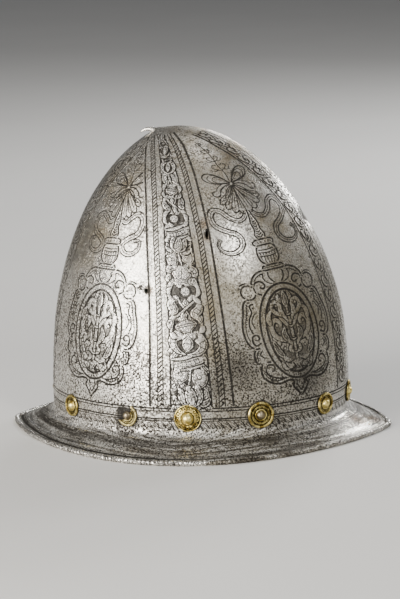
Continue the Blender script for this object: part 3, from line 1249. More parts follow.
def foot_band(page):
    """Lines all round, over a twist of small leaves."""
    def round_patch(angle, out, up, radii, wobble, grimes):
        x = float(np.interp(angle, turns_round, foot_arcs)) + out
        r = np.array(radii)[:, None] * wobble
        lifts = [[0.03]] * (len(radii) - 1) + [[-0.03]]
        across, ups = x + r * np.cos(q), rivet_height / mm + up + r * np.sin(q)
        lay(page, across, ups, lifts, np.array(grimes)[:, None])

    end = float(np.interp(180, turns_round, foot_arcs))
    around = np.linspace(-end, end, 420)
    for up, width in ((20.6, 0.75), (18.4, 0.6), (12.6, 0.75), (10.9, 0.5), (2.7, 0.9)):
        line = np.stack([around, np.full_like(around, up)], -1)
        stroke(page, line, width, groove if width > 0.7 else hairline, step=3.0)
    # The lost half of the broken rosette has left a dark disc
    q = np.radians(np.linspace(0, 360, 49))
    wobble = 1 + 0.05 * np.sin(3 * q + 1) + 0.03 * np.sin(7 * q)
    round_patch(stations[broken_one], -2, 1.5, (0.1, 5.2, 6.6, 7.2, 7.8), wobble, (0.8, 0.85, 0.95, 0.6, 0))
    # Old polish has dried black under the rosettes' rims
    for name, angle in stations.items():
        if name not in ("rear", broken_one):
            r = (wide_rosette_d if name in wide_ones + bossed_ones else rosette_d) / 2 / mm
            wobble = 1 + 0.02 * np.sin(3 * q + angle)
            round_patch(angle, -0.2, -0.3, (r - 1.5, r + 0.2, r + 0.9, r + 1.5), wobble, (1, 0.9, 0.6, 0))
    # The leaves lie on a ground that is hardly bitten
    lay(page, around[:, None], (3.1, 3.5, 10.0, 10.4), (-0.03, 0.03, 0.03, -0.03), (0.02, 0.08, 0.08, 0.02))
    count = int(2 * end / 5.4)
    for i in range(count):
        x = -end + (i + 0.5) * 2 * end / count
        lean = -1 if x < 0 else 1
        for shift, low, high, width in ((0, 3.6, 10, 0.62), (1.5, 4.8, 9.4, 0.3), (2.6, 4.2, 7.6, 0.3)):
            bow = 0.18 * (high - low)
            ups = (low, low + bow, high - bow, high)
            points = [(x + lean * (shift + out), up) for out, up in zip((-3.2, -1.4, 1.4, 3), ups)]
            stroke(page, points, width, taper=0.4)


brim_arcs = lengths_along(brim_edge(turns_round)) / mm
brim_arcs -= brim_arcs[len(brim_arcs) // 2]


def brim_place(x, out):
    """The page on the brim: across is the way round, and up is out from the foot of the side."""
    angle = np.interp(x, brim_arcs, turns_round)
    return brim_top(angle, 1 + out), brim_normal(angle, 1 + out)


def brim_lines(page):
    """Shallow lines and a running leaf on the brim, outwards in shares of its width."""
    end = float(np.interp(180, turns_round, brim_arcs))
    around = np.linspace(-end, end, 520)
    for out, wide in ((0.10, 0.018), (0.17, 0.010), (0.74, 0.010), (0.80, 0.018)):
        across = (out - 1.4 * wide, out - 0.7 * wide, out + 0.7 * wide, out + 1.4 * wide)
        lay(page, around[:, None], across, (-0.03, 0.05, 0.05, -0.03), (0, 0.9, 0.9, 0))
    # A thin vine of S curves with a leaf in each bay
    bay = 17
    count = int(2 * end / bay)
    for i in range(count):
        x = -end + (i + 0.5) * 2 * end / count
        m = 1 if i % 2 else -1
        q = np.linspace(0, 1, 14)
        for path_x, path_out, thick, dark in (
            (x + bay * (q - 0.5), 0.42 + 0.11 * m * np.cos(math.pi * q), 0.012, 0.75),
            (x - 2 + 7 * q, 0.42 + m * (0.02 - 0.13 * np.sin(2.4 * q)), 0.016, 0.6),
            (x + 5 * q, 0.42 + m * (0.1 - 0.07 * q), 0.01, 0.6),
        ):
            across = path_out[:, None] + thick * np.array((-2, -1, 1, 2))
            lay(page, path_x[:, None], across, (-0.03, 0.045, 0.045, -0.03), (0, dark, dark, 0))


# Strokes end this many times a hole's size away from its middle
hole_margin = 1.25


def etched(page, material):
    """Lays the page's strokes on the steel as one piece."""
    drawn = np.concatenate(page.parts)
    faces = np.concatenate(page.faces)
    p, n = page.place(drawn[:, 0], drawn[:, 1])
    points = p + n * drawn[:, 2:3] * mm
    points[:, 2] += base_z
    # Nothing is drawn where the steel has rusted through
    centers = points[faces].mean(axis=1) - (0, 0, base_z)
    whole = np.ones(len(faces), bool)
    for angle, height, half_width, half_height in lost_spots:
        t = side_at(angle, height * mm)
        outward = side_normal(angle, t)
        upward = unit(np.array((0, 0, 1)) - outward[2] * outward)
        away = (centers - side_point(angle, t)) / mm
        far_up, far_across = away @ upward / half_height, away @ np.cross(outward, upward) / half_width
        whole &= np.hypot(far_up, far_across) > hole_margin
    faces = faces[whole]
    a, b, c = points[faces[:, 0]], points[faces[:, 1]], points[faces[:, 2]]
    inward = (np.cross(b - a, c - b) * n[faces[:, 0]]).sum(axis=1) < 0
    faces[inward] = faces[inward][:, ::-1]
    mesh = bpy.data.meshes.new(page.name)
    mesh.from_pydata(points.tolist(), [], faces.tolist())
    mesh.update()
    piece = bpy.data.objects.new(page.name, mesh)
    bpy.context.collection.objects.link(piece)
    mark_grime(piece, drawn[:, 3])
    mesh.shade_smooth()
    mesh.materials.append(material)
    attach(piece, "root")


steel = skull.data.materials[0]
front_ribbon = (
    (1.9, 170), (5.6, 165.5), (11, 164), (16.5, 168), (20, 174), (25.5, 175.5), (29.5, 170), (29, 163),
    (23, 157.5), (17, 154), (15, 148), (18.5, 142), (26, 139.5), (32, 142), (33.5, 147), (31, 151),
)
rear_ribbon = (
    (2, 162), (8, 158.5), (13, 162.5), (18, 165), (23.5, 160.5), (22.5, 151), (15, 146.5), (10, 142),
    (13, 136.2), (20, 135), (25.5, 139), (25, 144.5), (21, 145),
)
for side, hand in (("right", -1), ("left", 1)):
    page = upright_page("etched_%s_front_panel" % side, hand * 42, -hand)
    framed_trophy(page, lambda up: 6 - 0.03 * np.asarray(up), 1.0, 195, front_ribbon, 240)
    etched(page, steel)
    page = upright_page("etched_%s_rear_panel" % side, hand * 125, -hand)
    framed_trophy(page, lambda up: -6 + 0.05 * np.asarray(up), 0.93, 187, rear_ribbon, 222)
    # A group of old scratches is on this panel alone
    if side == "right":
        for x, up, long in (
            (27, 109, 4), (28, 110.2, 6.5), (29, 111.2, 6), (30.5, 112.1, 3.5), (31, 109.4, 3),
        ):
            stroke(page, [(x, up), (x + 0.6 * long, up + 0.5), (x + long, up - 0.3)], 0.7, taper=0.6)
    etched(page, steel)
    page = upright_page("etched_%s_band" % side, hand * 84.5, -hand)
    side_band(page, 250)
    etched(page, steel)
page = upright_page("etched_front_band", 0, 1)
front_edge = along(((20, 26), (60, 24), (100, 23), (140, 21), (170, 19.5), (200, 20), (240, 19), (275, 12)))
keel_band(page, front_edge, 24, 262)
etched(page, steel)
page = upright_page("etched_rear_band", 180, 1)
keel_band(page, along(((20, 31), (130, 30), (220, 27), (240, 18))), 24, 228)
etched(page, steel)
page = Page("etched_foot_band", base_place)
foot_band(page)
etched(page, steel)
page = Page("etched_brim_lines", brim_place)
brim_lines(page)
etched(page, steel)

# Rosettes: gilt sheet brass, stamped in a die and pierced for the rivet, one under each head but the rear.
# Dished ones have a bead round the rim and the hub. The two bossed ones carry stamped rings.
metal_gap, band_gap = 0.05 * mm, 0.25 * mm
rosette_plate, boss_rise = 0.8 * mm, 1.6 * mm
head_d, head_rise, boss_head_d, boss_head_rise = 6.8 * mm, 2.8 * mm, 9.4 * mm, 4 * mm
bore_r = shank_d / 2 + hole_play
# Use has bent the rims up by as much as this
bent_by = 0.5 * mm


# A profile that ends on the axis ends this near to it, and is welded there
least_r = 0.02 * mm


def turned(name, profile, sides=72):
    """A piece turned about z from its profile of radius, height and grime, closed or ending on the axis."""
    deselect()
    first_r, first_z = profile[0][:2]
    bpy.ops.mesh.primitive_circle_add(vertices=sides, radius=max(first_r, least_r), fill_type="NOTHING")
    piece = bpy.context.object
    piece.name = piece.data.name = name
    bpy.ops.object.mode_set(mode="EDIT")
    bpy.ops.mesh.select_all(action="SELECT")
    bpy.ops.transform.translate(value=(0, 0, first_z))
    for (r, z, _), (next_r, next_z, _) in zip(profile, profile[1:]):
        share = max(next_r, least_r) / max(r, least_r)
        bpy.ops.mesh.extrude_edges_move()
        bpy.ops.transform.resize(value=(share, share, 1), center_override=(0, 0, 0))
        bpy.ops.transform.translate(value=(0, 0, next_z - z))
    bpy.ops.mesh.select_all(action="SELECT")
    bpy.ops.mesh.remove_doubles(threshold=0.00001)
    bpy.ops.mesh.normals_make_consistent(inside=False)
    bpy.ops.object.mode_set(mode="OBJECT")
    bpy.ops.object.shade_smooth_by_angle(angle=math.radians(40))
    p = points_of(piece)
    r = np.hypot(p[:, 0], p[:, 1])
    known = np.array(profile)
    nearest = np.argmin(np.hypot(r[:, None] - known[:, 0], p[:, 2:3] - known[:, 1]), axis=1)
    mark_grime(piece, known[nearest, 2])
    return piece


def bead(middle_r, middle_z, radius, first, last, count, grime=(0.5, 0)):
    """Part of a round bead in a profile, from one angle to another."""
    steps = np.linspace(math.radians(first), math.radians(last), count)
    return [
        (middle_r + radius * math.cos(q), middle_z + radius * math.sin(q),
         mix(grime[0], grime[1], math.sin(math.pi * i / (count - 1))))
        for i, q in enumerate(steps)
    ]


def dished_profile(d):
    rim_r, hub_r = 1.1 * mm, 0.6 * mm
    rim = d / 2 - rim_r
    hub = head_d / 2 + metal_gap + hub_r
    dish = rosette_plate
    return [
        (bore_r, 0, 0), (rim - rim_r, 0, 0), (d / 2 - 0.5 * rim_r, 0, 0),
        *bead(rim, dish / 2, rim_r, -20, 155, 12, (0.6, 0)),
        (rim - 1.25 * rim_r, dish, 1), (mix(rim, hub, 0.5), dish - 0.1 * mm, 0.35),
        (hub + 1.25 * hub_r, dish, 1), *bead(hub, dish, hub_r, 20, 170, 8, (0.6, 0)),
        (hub - 1.2 * hub_r, dish, 1), (bore_r, dish, 0.9), (bore_r, 0, 0),
    ]


def bossed_profile(d):
    top_r, top = boss_head_d / 2 + 1 * mm, boss_rise + rosette_plate
    edge = d / 2
    return [
        (bore_r, boss_rise, 0), (top_r - 1 * mm, boss_rise, 0), (edge - 2.5 * rosette_plate, 0, 0),
        (edge - 0.5 * rosette_plate, 0, 0.6),
        *bead(edge - 0.6 * rosette_plate, 0.6 * rosette_plate, 0.6 * rosette_plate, -10, 160, 8, (0.5, 0)),
        (edge - 1.6 * rosette_plate, 0.95 * rosette_plate, 0.9),
        (mix(edge, top_r, 0.45), mix(rosette_plate, top, 0.42), 0.7),
        (mix(edge, top_r, 0.75), mix(rosette_plate, top, 0.78), 0.7),
        (top_r, top, 0.2), (top_r - 0.8 * mm, top, 1), (bore_r, top, 1), (bore_r, boss_rise, 0),
    ]


def little_rings(count, ring_r, radius, thick, middle_z, lean, grime):
    """A circle of small raised rings, leaning with the plate that they are stamped in."""
    rings = []
    for i in range(count):
        deselect()
        bpy.ops.mesh.primitive_torus_add(
            major_radius=radius, minor_radius=thick, major_segments=14, minor_segments=6,
        )
        ring = bpy.context.object
        place = Matrix.Rotation(2 * math.pi * i / count, 4, "Z") @ Matrix.Translation((ring_r, 0, middle_z))
        ring.data.transform(place @ Matrix.Rotation(lean, 4, "Y"))
        mark_grime(ring, np.full(len(ring.data.vertices), grime))
        rings.append(ring)
    return join(*rings)


def brass_finish(name, light, deep, dirt_color, dirt_share, smooth):
    """Brass under worn gilding: warm and bright on what stands up, with dark dirt kept in what lies low."""
    material, add = new_material(name)
    place = add("TexCoord").outputs["Object"]
    cloud = add("TexNoise", {"Vector": place, "Scale": 0.24 / mm, "Detail": 4})
    speck = add("TexNoise", {"Vector": place, "Scale": 1.1 / mm, "Detail": 3})
    tone = add("MapRange", {"Value": cloud, "From": (0.4, 0.6)})
    color = add("Mix.RGBA", {"Factor": tone, "A": light, "B": deep})
    dirt = add("Attribute", attribute_name="grime").outputs["Fac"]
    dirt = add("Math.MULTIPLY_ADD", [speck, 1.7, dirt])
    dirt = add("Math.SUBTRACT", [dirt, 0.72], use_clamp=True)
    dirt = add("Math.MULTIPLY", [dirt, dirt_share])
    color = add("Mix.RGBA", {"Factor": dirt, "A": color, "B": dirt_color})
    rough = add("MapRange", {"Value": dirt, "To": (smooth, 0.75)})
    bump = add("Bump", {"Height": speck, "Strength": 0.6, "Distance": 0.0003})
    shader = add("BsdfPrincipled", {
        "Base Color": color, "Metallic": 1.0, "Roughness": rough, "Normal": bump,
    })
    add("OutputMaterial", {"Surface": shader})
    return material


def set_at(piece, name, angle, points=None):
    """A copy of a piece made on the origin, with its points moved if they are given, set at its rivet."""
    copy = piece.copy()
    copy.data = piece.data.copy()
    copy.name = copy.data.name = name
    if points is not None:
        put_points(copy, points)
    copy.data.transform(station_matrix(angle))
    bpy.context.collection.objects.link(copy)
    return copy


def lifted(piece, rise):
    piece.data.transform(Matrix.Translation((0, 0, rise)))
    return piece


gilt = brass_finish("stamped_and_gilt_brass", "#f5e292", "#8a7334", "#1a1508", 1.0, 0.22)
dull_gilt = brass_finish("stamped_brass_with_lost_gilding", "#c9bb86", "#6f6238", "#1f1a0b", 1.0, 0.34)
small_rosette = lifted(turned("small_rosette", dished_profile(rosette_d)), metal_gap)
wide_rosette = turned("wide_rosette", dished_profile(wide_rosette_d))
# The wide one's dish holds a circle of small pearls, halfway from hub to rim
pearls_r = 0.5 * (head_d / 2 + 1.3 * mm + wide_rosette_d / 2 - 2.2 * mm)
pearls = little_rings(16, pearls_r, 0.55 * mm, 0.25 * mm, rosette_plate, 0, 0.5)
wide_rosette = lifted(join(wide_rosette, pearls), metal_gap)
bossed_rosette = turned("bossed_rosette", bossed_profile(wide_rosette_d))
slope = math.atan2(boss_rise, wide_rosette_d / 2 - boss_head_d / 2 - 2 * mm)
ring_place = 0.5 * (wide_rosette_d / 2 + boss_head_d / 2) - 0.1 * mm
stamped = little_rings(13, ring_place, 1.1 * mm, 0.42 * mm, 1.85 * mm, slope, 0)
bossed_rosette = lifted(join(bossed_rosette, stamped), metal_gap)
broken_rosette = turned("broken_rosette", dished_profile(rosette_d))
bite_place = Matrix.Translation((-0.34 * rosette_d, -0.34 * rosette_d, 0))
bite = hole_cutter("bite", bite_place, 9.4 * mm, 9.7 * mm, 23)
broken_rosette = lifted(broken_rosette, metal_gap)
cut_away(broken_rosette, bite)
for name, angle in stations.items():
    if name == "rear":
        continue
    kind = small_rosette
    if name in bossed_ones:
        kind = bossed_rosette
    if name in wide_ones:
        kind = wide_rosette
    if name == broken_one:
        kind = broken_rosette
    p = points_of(kind)
    out = np.clip(np.hypot(p[:, 0], p[:, 1]) / (rosette_d / 2) - 0.5, 0, 1)
    turn = np.arctan2(p[:, 1], p[:, 0])
    wave = 0.5 + 0.5 * np.sin(2 * turn + 0.11 * angle) + 0.25 * np.sin(5 * turn + angle)
    p[:, 2] += bent_by * out * np.maximum(wave, 0)
    rosette = set_at(kind, "stamped_rosette_" + name, angle, p)
    rosette.data.materials.append(dull_gilt if name == broken_one else gilt)
    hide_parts("rosette_" + name)
    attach(rosette, "root")
for master in (small_rosette, wide_rosette, bossed_rosette, broken_rosette):
    bpy.data.objects.remove(master)

# Rivets: solid brass, domed outside and hammered flat over a washer inside.
# They hold the rosettes, the steel and the leather band together.
rove_thick, band_thick = 0.8 * mm, 2 * mm
band_depth = wall + band_gap
rove_depth = band_depth + band_thick + band_gap
tail_depth = rove_depth + rove_thick + metal_gap
tail_rise, tail_r = 0.9 * mm, 0.85 * shank_d
seat_dished = 2 * metal_gap + rosette_plate
seat_bossed = seat_dished + boss_rise


def rivet_profile(seat, d, rise):
    """The dome is part of a ball, and the tail a flattened button under the rove."""
    ball_r = (d * d / 4 + rise * rise) / (2 * rise)
    reach = math.asin(d / 2 / ball_r)
    dome = [
        (ball_r * math.sin(reach * q), seat + rise - ball_r + ball_r * math.cos(reach * q), 0.6 * q ** 16)
        for q in np.linspace(1, 0, 12)
    ]
    low = -tail_depth
    return [
        (0, low - tail_rise, 0.3), (0.7 * tail_r, low - tail_rise, 0.3),
        (0.95 * tail_r, low - 0.7 * tail_rise, 0.3), (tail_r, low - 0.35 * tail_rise, 0.4),
        (tail_r, low, 0.8), (shank_d / 2, low, 0.8), (shank_d / 2, seat, 0.8), *dome,
    ]


burnished = brass_finish("turned_and_burnished_brass", "#ffefa0", "#eed272", "#4a3f1c", 0.6, 0.3)
tarnished = brass_finish("tarnished_brass", "#b8ab90", "#857a64", "#2e281f", 0.9, 0.3)
rivet_sides = 40
small_rivet = turned("small_rivet", rivet_profile(seat_dished, head_d, head_rise), rivet_sides)
large_rivet = turned("large_rivet", rivet_profile(seat_bossed, boss_head_d, boss_head_rise), rivet_sides)
bare_rivet = turned("bare_rivet", rivet_profile(metal_gap, head_d, head_rise), rivet_sides)
for name, angle in stations.items():
    kind = small_rivet
    if name in bossed_ones:
        kind = large_rivet
    if name == "rear":
        kind = bare_rivet
    rivet = set_at(kind, "domed_rivet_" + name, angle)
    rivet.data.materials.append(tarnished if name in ("right_4", "right_2", "rear") else burnished)
    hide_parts("rivet_" + name)
    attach(rivet, "root")
for master in (small_rivet, large_rivet, bare_rivet):
    bpy.data.objects.remove(master)

# Lining band: a strap of vegetable-tanned cowhide, 27 mm wide and 2 mm thick, clamped all round.
# The lining is whipped to its upper edge with waxed thread.
band_low, band_width = 3 * mm, 27 * mm
quilt_depth = band_depth + band_thick + 0.3 * mm


def inset(angle, t, depth, height=skull_height):
    """Points at a depth under the side, or under a lower form of it that has its own height."""
    return true_side(angle, t, height) - np.asarray(depth)[..., None] * true_normal(angle, t, height)


strap_angles = np.linspace(0, 360, 289)
strap_rings = []
worn_edge = 0.7 * mm
# Round its section, from its low edge: the face to the steel, the top, and the creased face to the head
for z, depth in (
    (0, worn_edge), (0.35 * worn_edge, 0.2 * worn_edge), (worn_edge, 0), (0.25 * band_width, 0),
    (0.5 * band_width, 0), (0.75 * band_width, 0), (band_width - worn_edge, 0),
    (band_width - 0.35 * worn_edge, 0.2 * worn_edge), (band_width, worn_edge),
    (band_width, band_thick - worn_edge), (band_width - 0.35 * worn_edge, band_thick - 0.2 * worn_edge),
    (band_width - worn_edge, band_thick), (0.92 * band_width, band_thick),
    (0.9 * band_width, 0.93 * band_thick), (0.88 * band_width, band_thick),
    (0.75 * band_width, band_thick), (0.6 * band_width, band_thick),
    (0.45 * band_width, band_thick), (0.3 * band_width, band_thick), (0.12 * band_width, band_thick),
    (0.1 * band_width, 0.93 * band_thick), (0.08 * band_width, band_thick), (worn_edge, band_thick),
    (0.35 * worn_edge, band_thick - 0.2 * worn_edge), (0, band_thick - worn_edge), (0, worn_edge),
):
    wave = 0.12 * mm * np.sin(np.radians(strap_angles) * 23 + 40 * z / band_width)
    wave *= depth > 0.5 * band_thick
    t = side_at(strap_angles, band_low + z)
    strap_rings.append(inset(strap_angles, t, band_depth + depth - abs(wave)))
strap = sheet_of_rings("leather_lining_band", strap_rings)


def leather_finish():
    """Vegetable-tanned cowhide: brown, creased and stained by sweat, with a dull polish from handling."""
    material, add = new_material("vegetable_tanned_cowhide")
    place = add("TexCoord").outputs["Object"]
    pores = add("TexVoronoi", {"Vector": place, "Scale": 0.9 / mm})
    creases = add("TexNoise", {"Vector": place, "Scale": 0.13 / mm, "Detail": 6, "Distortion": 0.6})
    stains = add("TexNoise", {"Vector": place, "Scale": 0.022 / mm, "Detail": 4})
    stains = add("MapRange", {"Value": stains, "From": (0.36, 0.66)})
    color = add("Mix.RGBA", {"Factor": stains, "A": "#3c2415", "B": "#7a5334"})
    height = add("Math.ADD", [pores, creases])
    bump = add("Bump", {"Height": height, "Strength": 0.5, "Distance": 0.0004})
    rough = add("MapRange", {"Value": creases, "From": (0.3, 0.7), "To": (0.42, 0.7)})
    shader = add("BsdfPrincipled", {"Base Color": color, "Roughness": rough, "Normal": bump})
    add("OutputMaterial", {"Surface": shader})
    return material


strap.data.materials.append(leather_finish())
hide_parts("lining_band")
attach(strap, "root")

# Roves: iron washers, punched from sheet and left black, that the rivets are spread over.
# They are the solids themselves, with a finish of their own.
def iron_finish():
    """Iron as the forge left it: dull black scale, spotted with brown rust."""
    material, add = new_material("punched_black_iron")
    place = add("TexCoord").outputs["Object"]
    rust = add("TexNoise", {"Vector": place, "Scale": 0.42 / mm, "Detail": 5})
    share = add("MapRange", {"Value": rust, "From": (0.42, 0.66)})
    color = add("Mix.RGBA", {"Factor": share, "A": "#4b4845", "B": "#6b412a"})
    metal = add("MapRange", {"Value": rust, "From": (0.45, 0.62), "To": (1, 0.1)})
    bump = add("Bump", {"Height": rust, "Strength": 0.5, "Distance": 0.0003})
    shader = add("BsdfPrincipled", {
        "Base Color": color, "Metallic": metal, "Roughness": 0.55, "Normal": bump,
    })
    add("OutputMaterial", {"Surface": shader})
    return material


black_iron = iron_finish()
for name in stations:
    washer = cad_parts["rove_" + name]
    washer.data.materials.clear()
    washer.data.materials.append(black_iron)

# Lining: two layers of undyed linen stuffed with tow, in eight gores quilted across in rows.
# Its hem is whipped to the leather, and its tips are drawn together by the lace.
lining_height, quilt_end = 168 * mm, 0.9
seam_thick, crown_thick = 2.5 * mm, 7 * mm
gores, quilt_rows = 8, 9
rove_d = 9 * mm
quilt_start = 0.5 * (rivet_height + rove_d / 2 + band_low + band_width)
quilt_columns, quilt_steps = 193, 46
# The cells are cut this full, and the stuffing swells them by no more than swell_most
slack, swell_most = 0.75, 2.2 * mm


def quilt_layer(v, thick_share):
    """A ring of the lining at v up it, 0 on the face against the steel and 1 on the face to the head."""
    angles = np.linspace(0, 360, quilt_columns)
    t = mix(side_at(angles, quilt_start, lining_height), quilt_end, v)
    gore = abs(np.sin(np.radians(angles) * gores / 2)) ** 0.5
    row = abs(math.sin(math.pi * v * quilt_rows)) ** 0.5
    pucker = 0.35 * mm * np.sin(np.radians(angles) * 70 + 9 * v) * (1 - row) * gore
    crown = slack * crown_thick
    thick = seam_thick + (crown - seam_thick) * gore * (0.55 + 0.45 * row) - abs(pucker)
    return inset(angles, t, quilt_depth + thick * thick_share, lining_height)


# Sewn: the face to the steel, the two hems, and on the face to the head every seam
quilt_rings, sewn = [], []
all_round = np.ones(quilt_columns)
on_gore_seam = (np.arange(quilt_columns) % ((quilt_columns - 1) // gores) == 0).astype(float)
for v in np.linspace(0, 1, quilt_steps):
    quilt_rings.append(quilt_layer(v, 0.0))
    sewn.append(all_round)
for share in (0.2, 0.6):
    quilt_rings.append(quilt_layer(1.0, share))
    sewn.append(all_round)
for i, v in enumerate(np.linspace(1, 0, quilt_steps)):
    quilt_rings.append(quilt_layer(v, 1.0))
    sewn.append(all_round if i % ((quilt_steps - 1) // quilt_rows) == 0 else on_gore_seam)
for share in (0.6, 0.2, 0.0):
    quilt_rings.append(quilt_layer(0.0, share))
    sewn.append(all_round)
quilt = sheet_of_rings("quilted_linen_lining", quilt_rings, np.array(sewn))

# The stuffing swells each cell between its seams, as a simulated cloth under pressure
swell_frames = 20
held = np.empty(len(quilt.data.vertices), np.float32)
quilt.data.attributes["grime"].data.foreach_get("value", held)
pins = quilt.vertex_groups.new(name="sewn")
pins.add(np.flatnonzero(held > 0.5).tolist(), 1.0, "REPLACE")
flat_shape = points_of(quilt)
cloth = quilt.modifiers.new("stuffing", "CLOTH")
filled = cloth.settings
filled.quality = 5
filled.mass = 0.05
filled.tension_stiffness = filled.compression_stiffness = 5
filled.bending_stiffness = 0.05
filled.shrink_min = -0.07
filled.vertex_group_mass = "sewn"
filled.use_pressure = True
filled.uniform_pressure_force = 8
filled.effector_weights.gravity = 0
cloth.collision_settings.use_collision = False
for number in range(1, swell_frames + 1):
    bpy.context.scene.frame_set(number)
apply_modifier(quilt, "stuffing")
bpy.context.scene.frame_set(1)
moved = points_of(quilt) - flat_shape
far = np.linalg.norm(moved, axis=1, keepdims=True)
moved *= np.minimum(1, swell_most / np.maximum(far, 1e-9))
put_points(quilt, flat_shape + moved)
rounded = quilt.modifiers.new("rounded", "SUBSURF")
rounded.levels = rounded.render_levels = 1
apply_modifier(quilt, "rounded")
# The grid's own map is stretched to read in metres: round the cap, and up one face and down the other
quilt_girth, quilt_rise = 0.56, 0.42
for corner in quilt.data.uv_layers[0].data:
    corner.uv = (corner.uv[0] * quilt_girth, corner.uv[1] * quilt_rise)


def linen_finish(name, light, deep, thread):
    """Linen, dull and slubbed: a plain weave, read from the piece's own map in metres, under old stains."""
    material, add = new_material(name)
    coordinates = add("TexCoord").outputs
    split = add("SeparateXYZ", {"Vector": coordinates["UV"]}).outputs
    turns_x = add("Math.MULTIPLY", [split["X"], math.pi / thread])
    turns_y = add("Math.MULTIPLY", [split["Y"], math.pi / thread])
    warp = add("Math.SINE", [turns_x])
    weft = add("Math.SINE", [turns_y])
    weave = add("Math.MULTIPLY", [warp, weft])
    stains = add("TexNoise", {
        "Vector": coordinates["Object"], "Scale": 0.018 / mm, "Detail": 5, "Roughness": 0.6,
    })
    slubs = add("TexNoise", {"Vector": coordinates["Object"], "Scale": 0.26 / mm, "Detail": 3})
    tone = add("Math.MULTIPLY_ADD", [weave, 0.22, stains])
    tone = add("MapRange", {"Value": tone, "From": (0.25, 0.72)})
    color = add("Mix.RGBA", {"Factor": tone, "A": deep, "B": light})
    seam = add("Attribute", attribute_name="grime").outputs["Fac"]
    seam = add("Math.MULTIPLY", [seam, 0.4])
    color = add("Mix.RGBA", {"Factor": seam, "A": color, "B": "#5d4c30"})
    height = add("Math.MULTIPLY_ADD", [weave, 0.5, slubs])
    bump = add("Bump", {"Height": height, "Strength": 0.6, "Distance": 0.0004})
    shader = add("BsdfPrincipled", {
        "Base Color": color, "Roughness": 0.9, "Sheen Weight": 0.25, "Sheen Roughness": 0.5, "Normal": bump,
    })
    add("OutputMaterial", {"Surface": shader})
    return material


# Its threads, too fine to show, are drawn about twice as coarse as they are
drawn_thread = 1.1 * mm
quilt.data.materials.append(linen_finish("plain_woven_undyed_linen", "#bba983", "#7c6a48", drawn_thread))
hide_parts("lining")
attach(quilt, "root")

# Hem stitches: waxed linen thread, whipped slantwise over the lining's lower edge into the leather.
# Each is one bead of thread, from the leather below the edge to the linen over it.
stitch_count, stitch_r, stitch_long, stitch_reach, stitch_slant = 104, 0.45 * mm, 3.1 * mm, 1.9 * mm, 0.9
deselect()
bpy.ops.mesh.primitive_uv_sphere_add(segments=6, ring_count=6, radius=1)
stitch = bpy.context.object
bpy.ops.object.shade_smooth()
stitches = []
for angle in np.linspace(0, 360, stitch_count, endpoint=False):
    ends = []
    for turn, z, depth in (
        (angle, quilt_start - stitch_reach, quilt_depth + 0.2 * stitch_r),
        (angle + stitch_slant, quilt_start + stitch_reach, quilt_depth + seam_thick + 0.6 * stitch_r),
    ):
        ends.append(inset(turn, side_at(turn, z, lining_height), depth, lining_height))
    start, stop = ends
    middle = Vector(0.5 * (start + stop)) + Vector((0, 0, base_z))
    turn = Vector(stop - start).to_track_quat("Z", "Y").to_matrix().to_4x4()
    one = stitch.copy()
    one.data = stitch.data.copy()
    one.name = one.data.name = "waxed_hem_stitches"
    shape = Matrix.Diagonal((stitch_r, stitch_r, stitch_long, 1))
    one.data.transform(Matrix.Translation(middle) @ turn @ shape)
    bpy.context.collection.objects.link(one)
    stitches.append(one)
bpy.data.objects.remove(stitch)
hem_stitches = join(*stitches)
# A pitch so wide leaves thread and cord without a weave
no_weave = 20 * mm
hem_stitches.data.materials.append(linen_finish("waxed_linen_thread", "#c9b891", "#8f7a52", no_weave))
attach(hem_stitches, "root")

# Lace: three strands of linen cord twisted together, drawn through the tips of the gores.
# It draws them in to the wearer's crown, and is knotted at the left with two short ends.
lace_d = 3 * mm
strand_r = 0.29 * lace_d
strand_twists, knot_angle = 24, 90.0


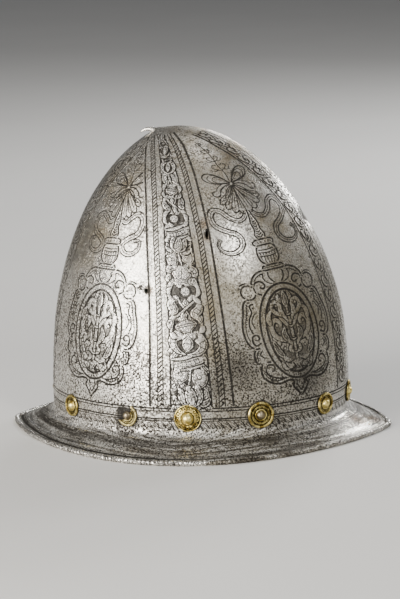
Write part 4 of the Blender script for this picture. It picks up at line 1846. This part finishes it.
def lace_middle(angles):
    """The middle of the cord over the gores' tips, the lining's normal there, and the way up it."""
    below, above = (true_side(angles, quilt_end + step, lining_height) for step in (-0.004, 0.004))
    up = unit(above - below)
    edge = inset(angles, quilt_end, quilt_depth + seam_thick / 2, lining_height)
    return edge + (0.3 * mm + lace_d / 2) * up, true_normal(angles, quilt_end, lining_height), up


def strand(number):
    """Lines along one strand, evenly round it."""
    angles = np.linspace(0, 360, 361)
    middle, n, up = lace_middle(angles)
    q = np.radians(angles) * strand_twists + 2 * math.pi * number / 3
    middle = middle + (lace_d / 2 - strand_r) * (np.cos(q)[:, None] * n + np.sin(q)[:, None] * up)
    return [middle + strand_r * (math.cos(a) * n + math.sin(a) * up) for a in np.linspace(0, 2 * math.pi, 9)]


lace = join(*[sheet_of_rings("lining_cord", strand(number)) for number in range(3)])
knot_at, _, knot_up = (Vector(v[0]) for v in lace_middle(np.array([knot_angle])))
facing = Vector((1, 0, 0)).to_track_quat("Z", "X").to_matrix().to_4x4()
for lean, size in ((0, 1.0), (50, 0.92), (-50, 0.92)):
    deselect()
    bpy.ops.mesh.primitive_torus_add(
        major_radius=0.62 * lace_d * size, minor_radius=1.3 * strand_r, major_segments=24, minor_segments=8,
    )
    wrap = bpy.context.object
    bpy.ops.object.shade_smooth()
    mark_grime(wrap, np.zeros(len(wrap.data.vertices)))
    leaning = Matrix.Rotation(math.radians(lean), 4, knot_up)
    wrap.data.transform(Matrix.Translation(knot_at + Vector((0, 0, base_z))) @ leaning @ facing)
    lace = join(lace, wrap)
# The ends hang from the knot, one to each side, and swell a little where they are cut
end_points = np.array(((0, 0, 0), (1.2, -1.6, -2), (2.6, -2.6, -5.6), (3, -2.4, -9.4))) * mm
end_radii = strand_r * np.array((1.6, 1.6, 1.6, 1.8, 0))
a = np.radians(np.linspace(0, 360, 11))
for side in (1, -1):
    path = np.array(knot_at) + end_points * (side, 1, 1)
    rings = [p + r * stack(np.cos(a), np.sin(a), 0) for p, r in zip((*path, path[-1]), end_radii)]
    lace = join(lace, sheet_of_rings("lace_end", rings))
lace.data.materials.append(linen_finish("twisted_linen_cord", "#a88e63", "#6d5535", no_weave))
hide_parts("lining_lace")
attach(lace, "root")
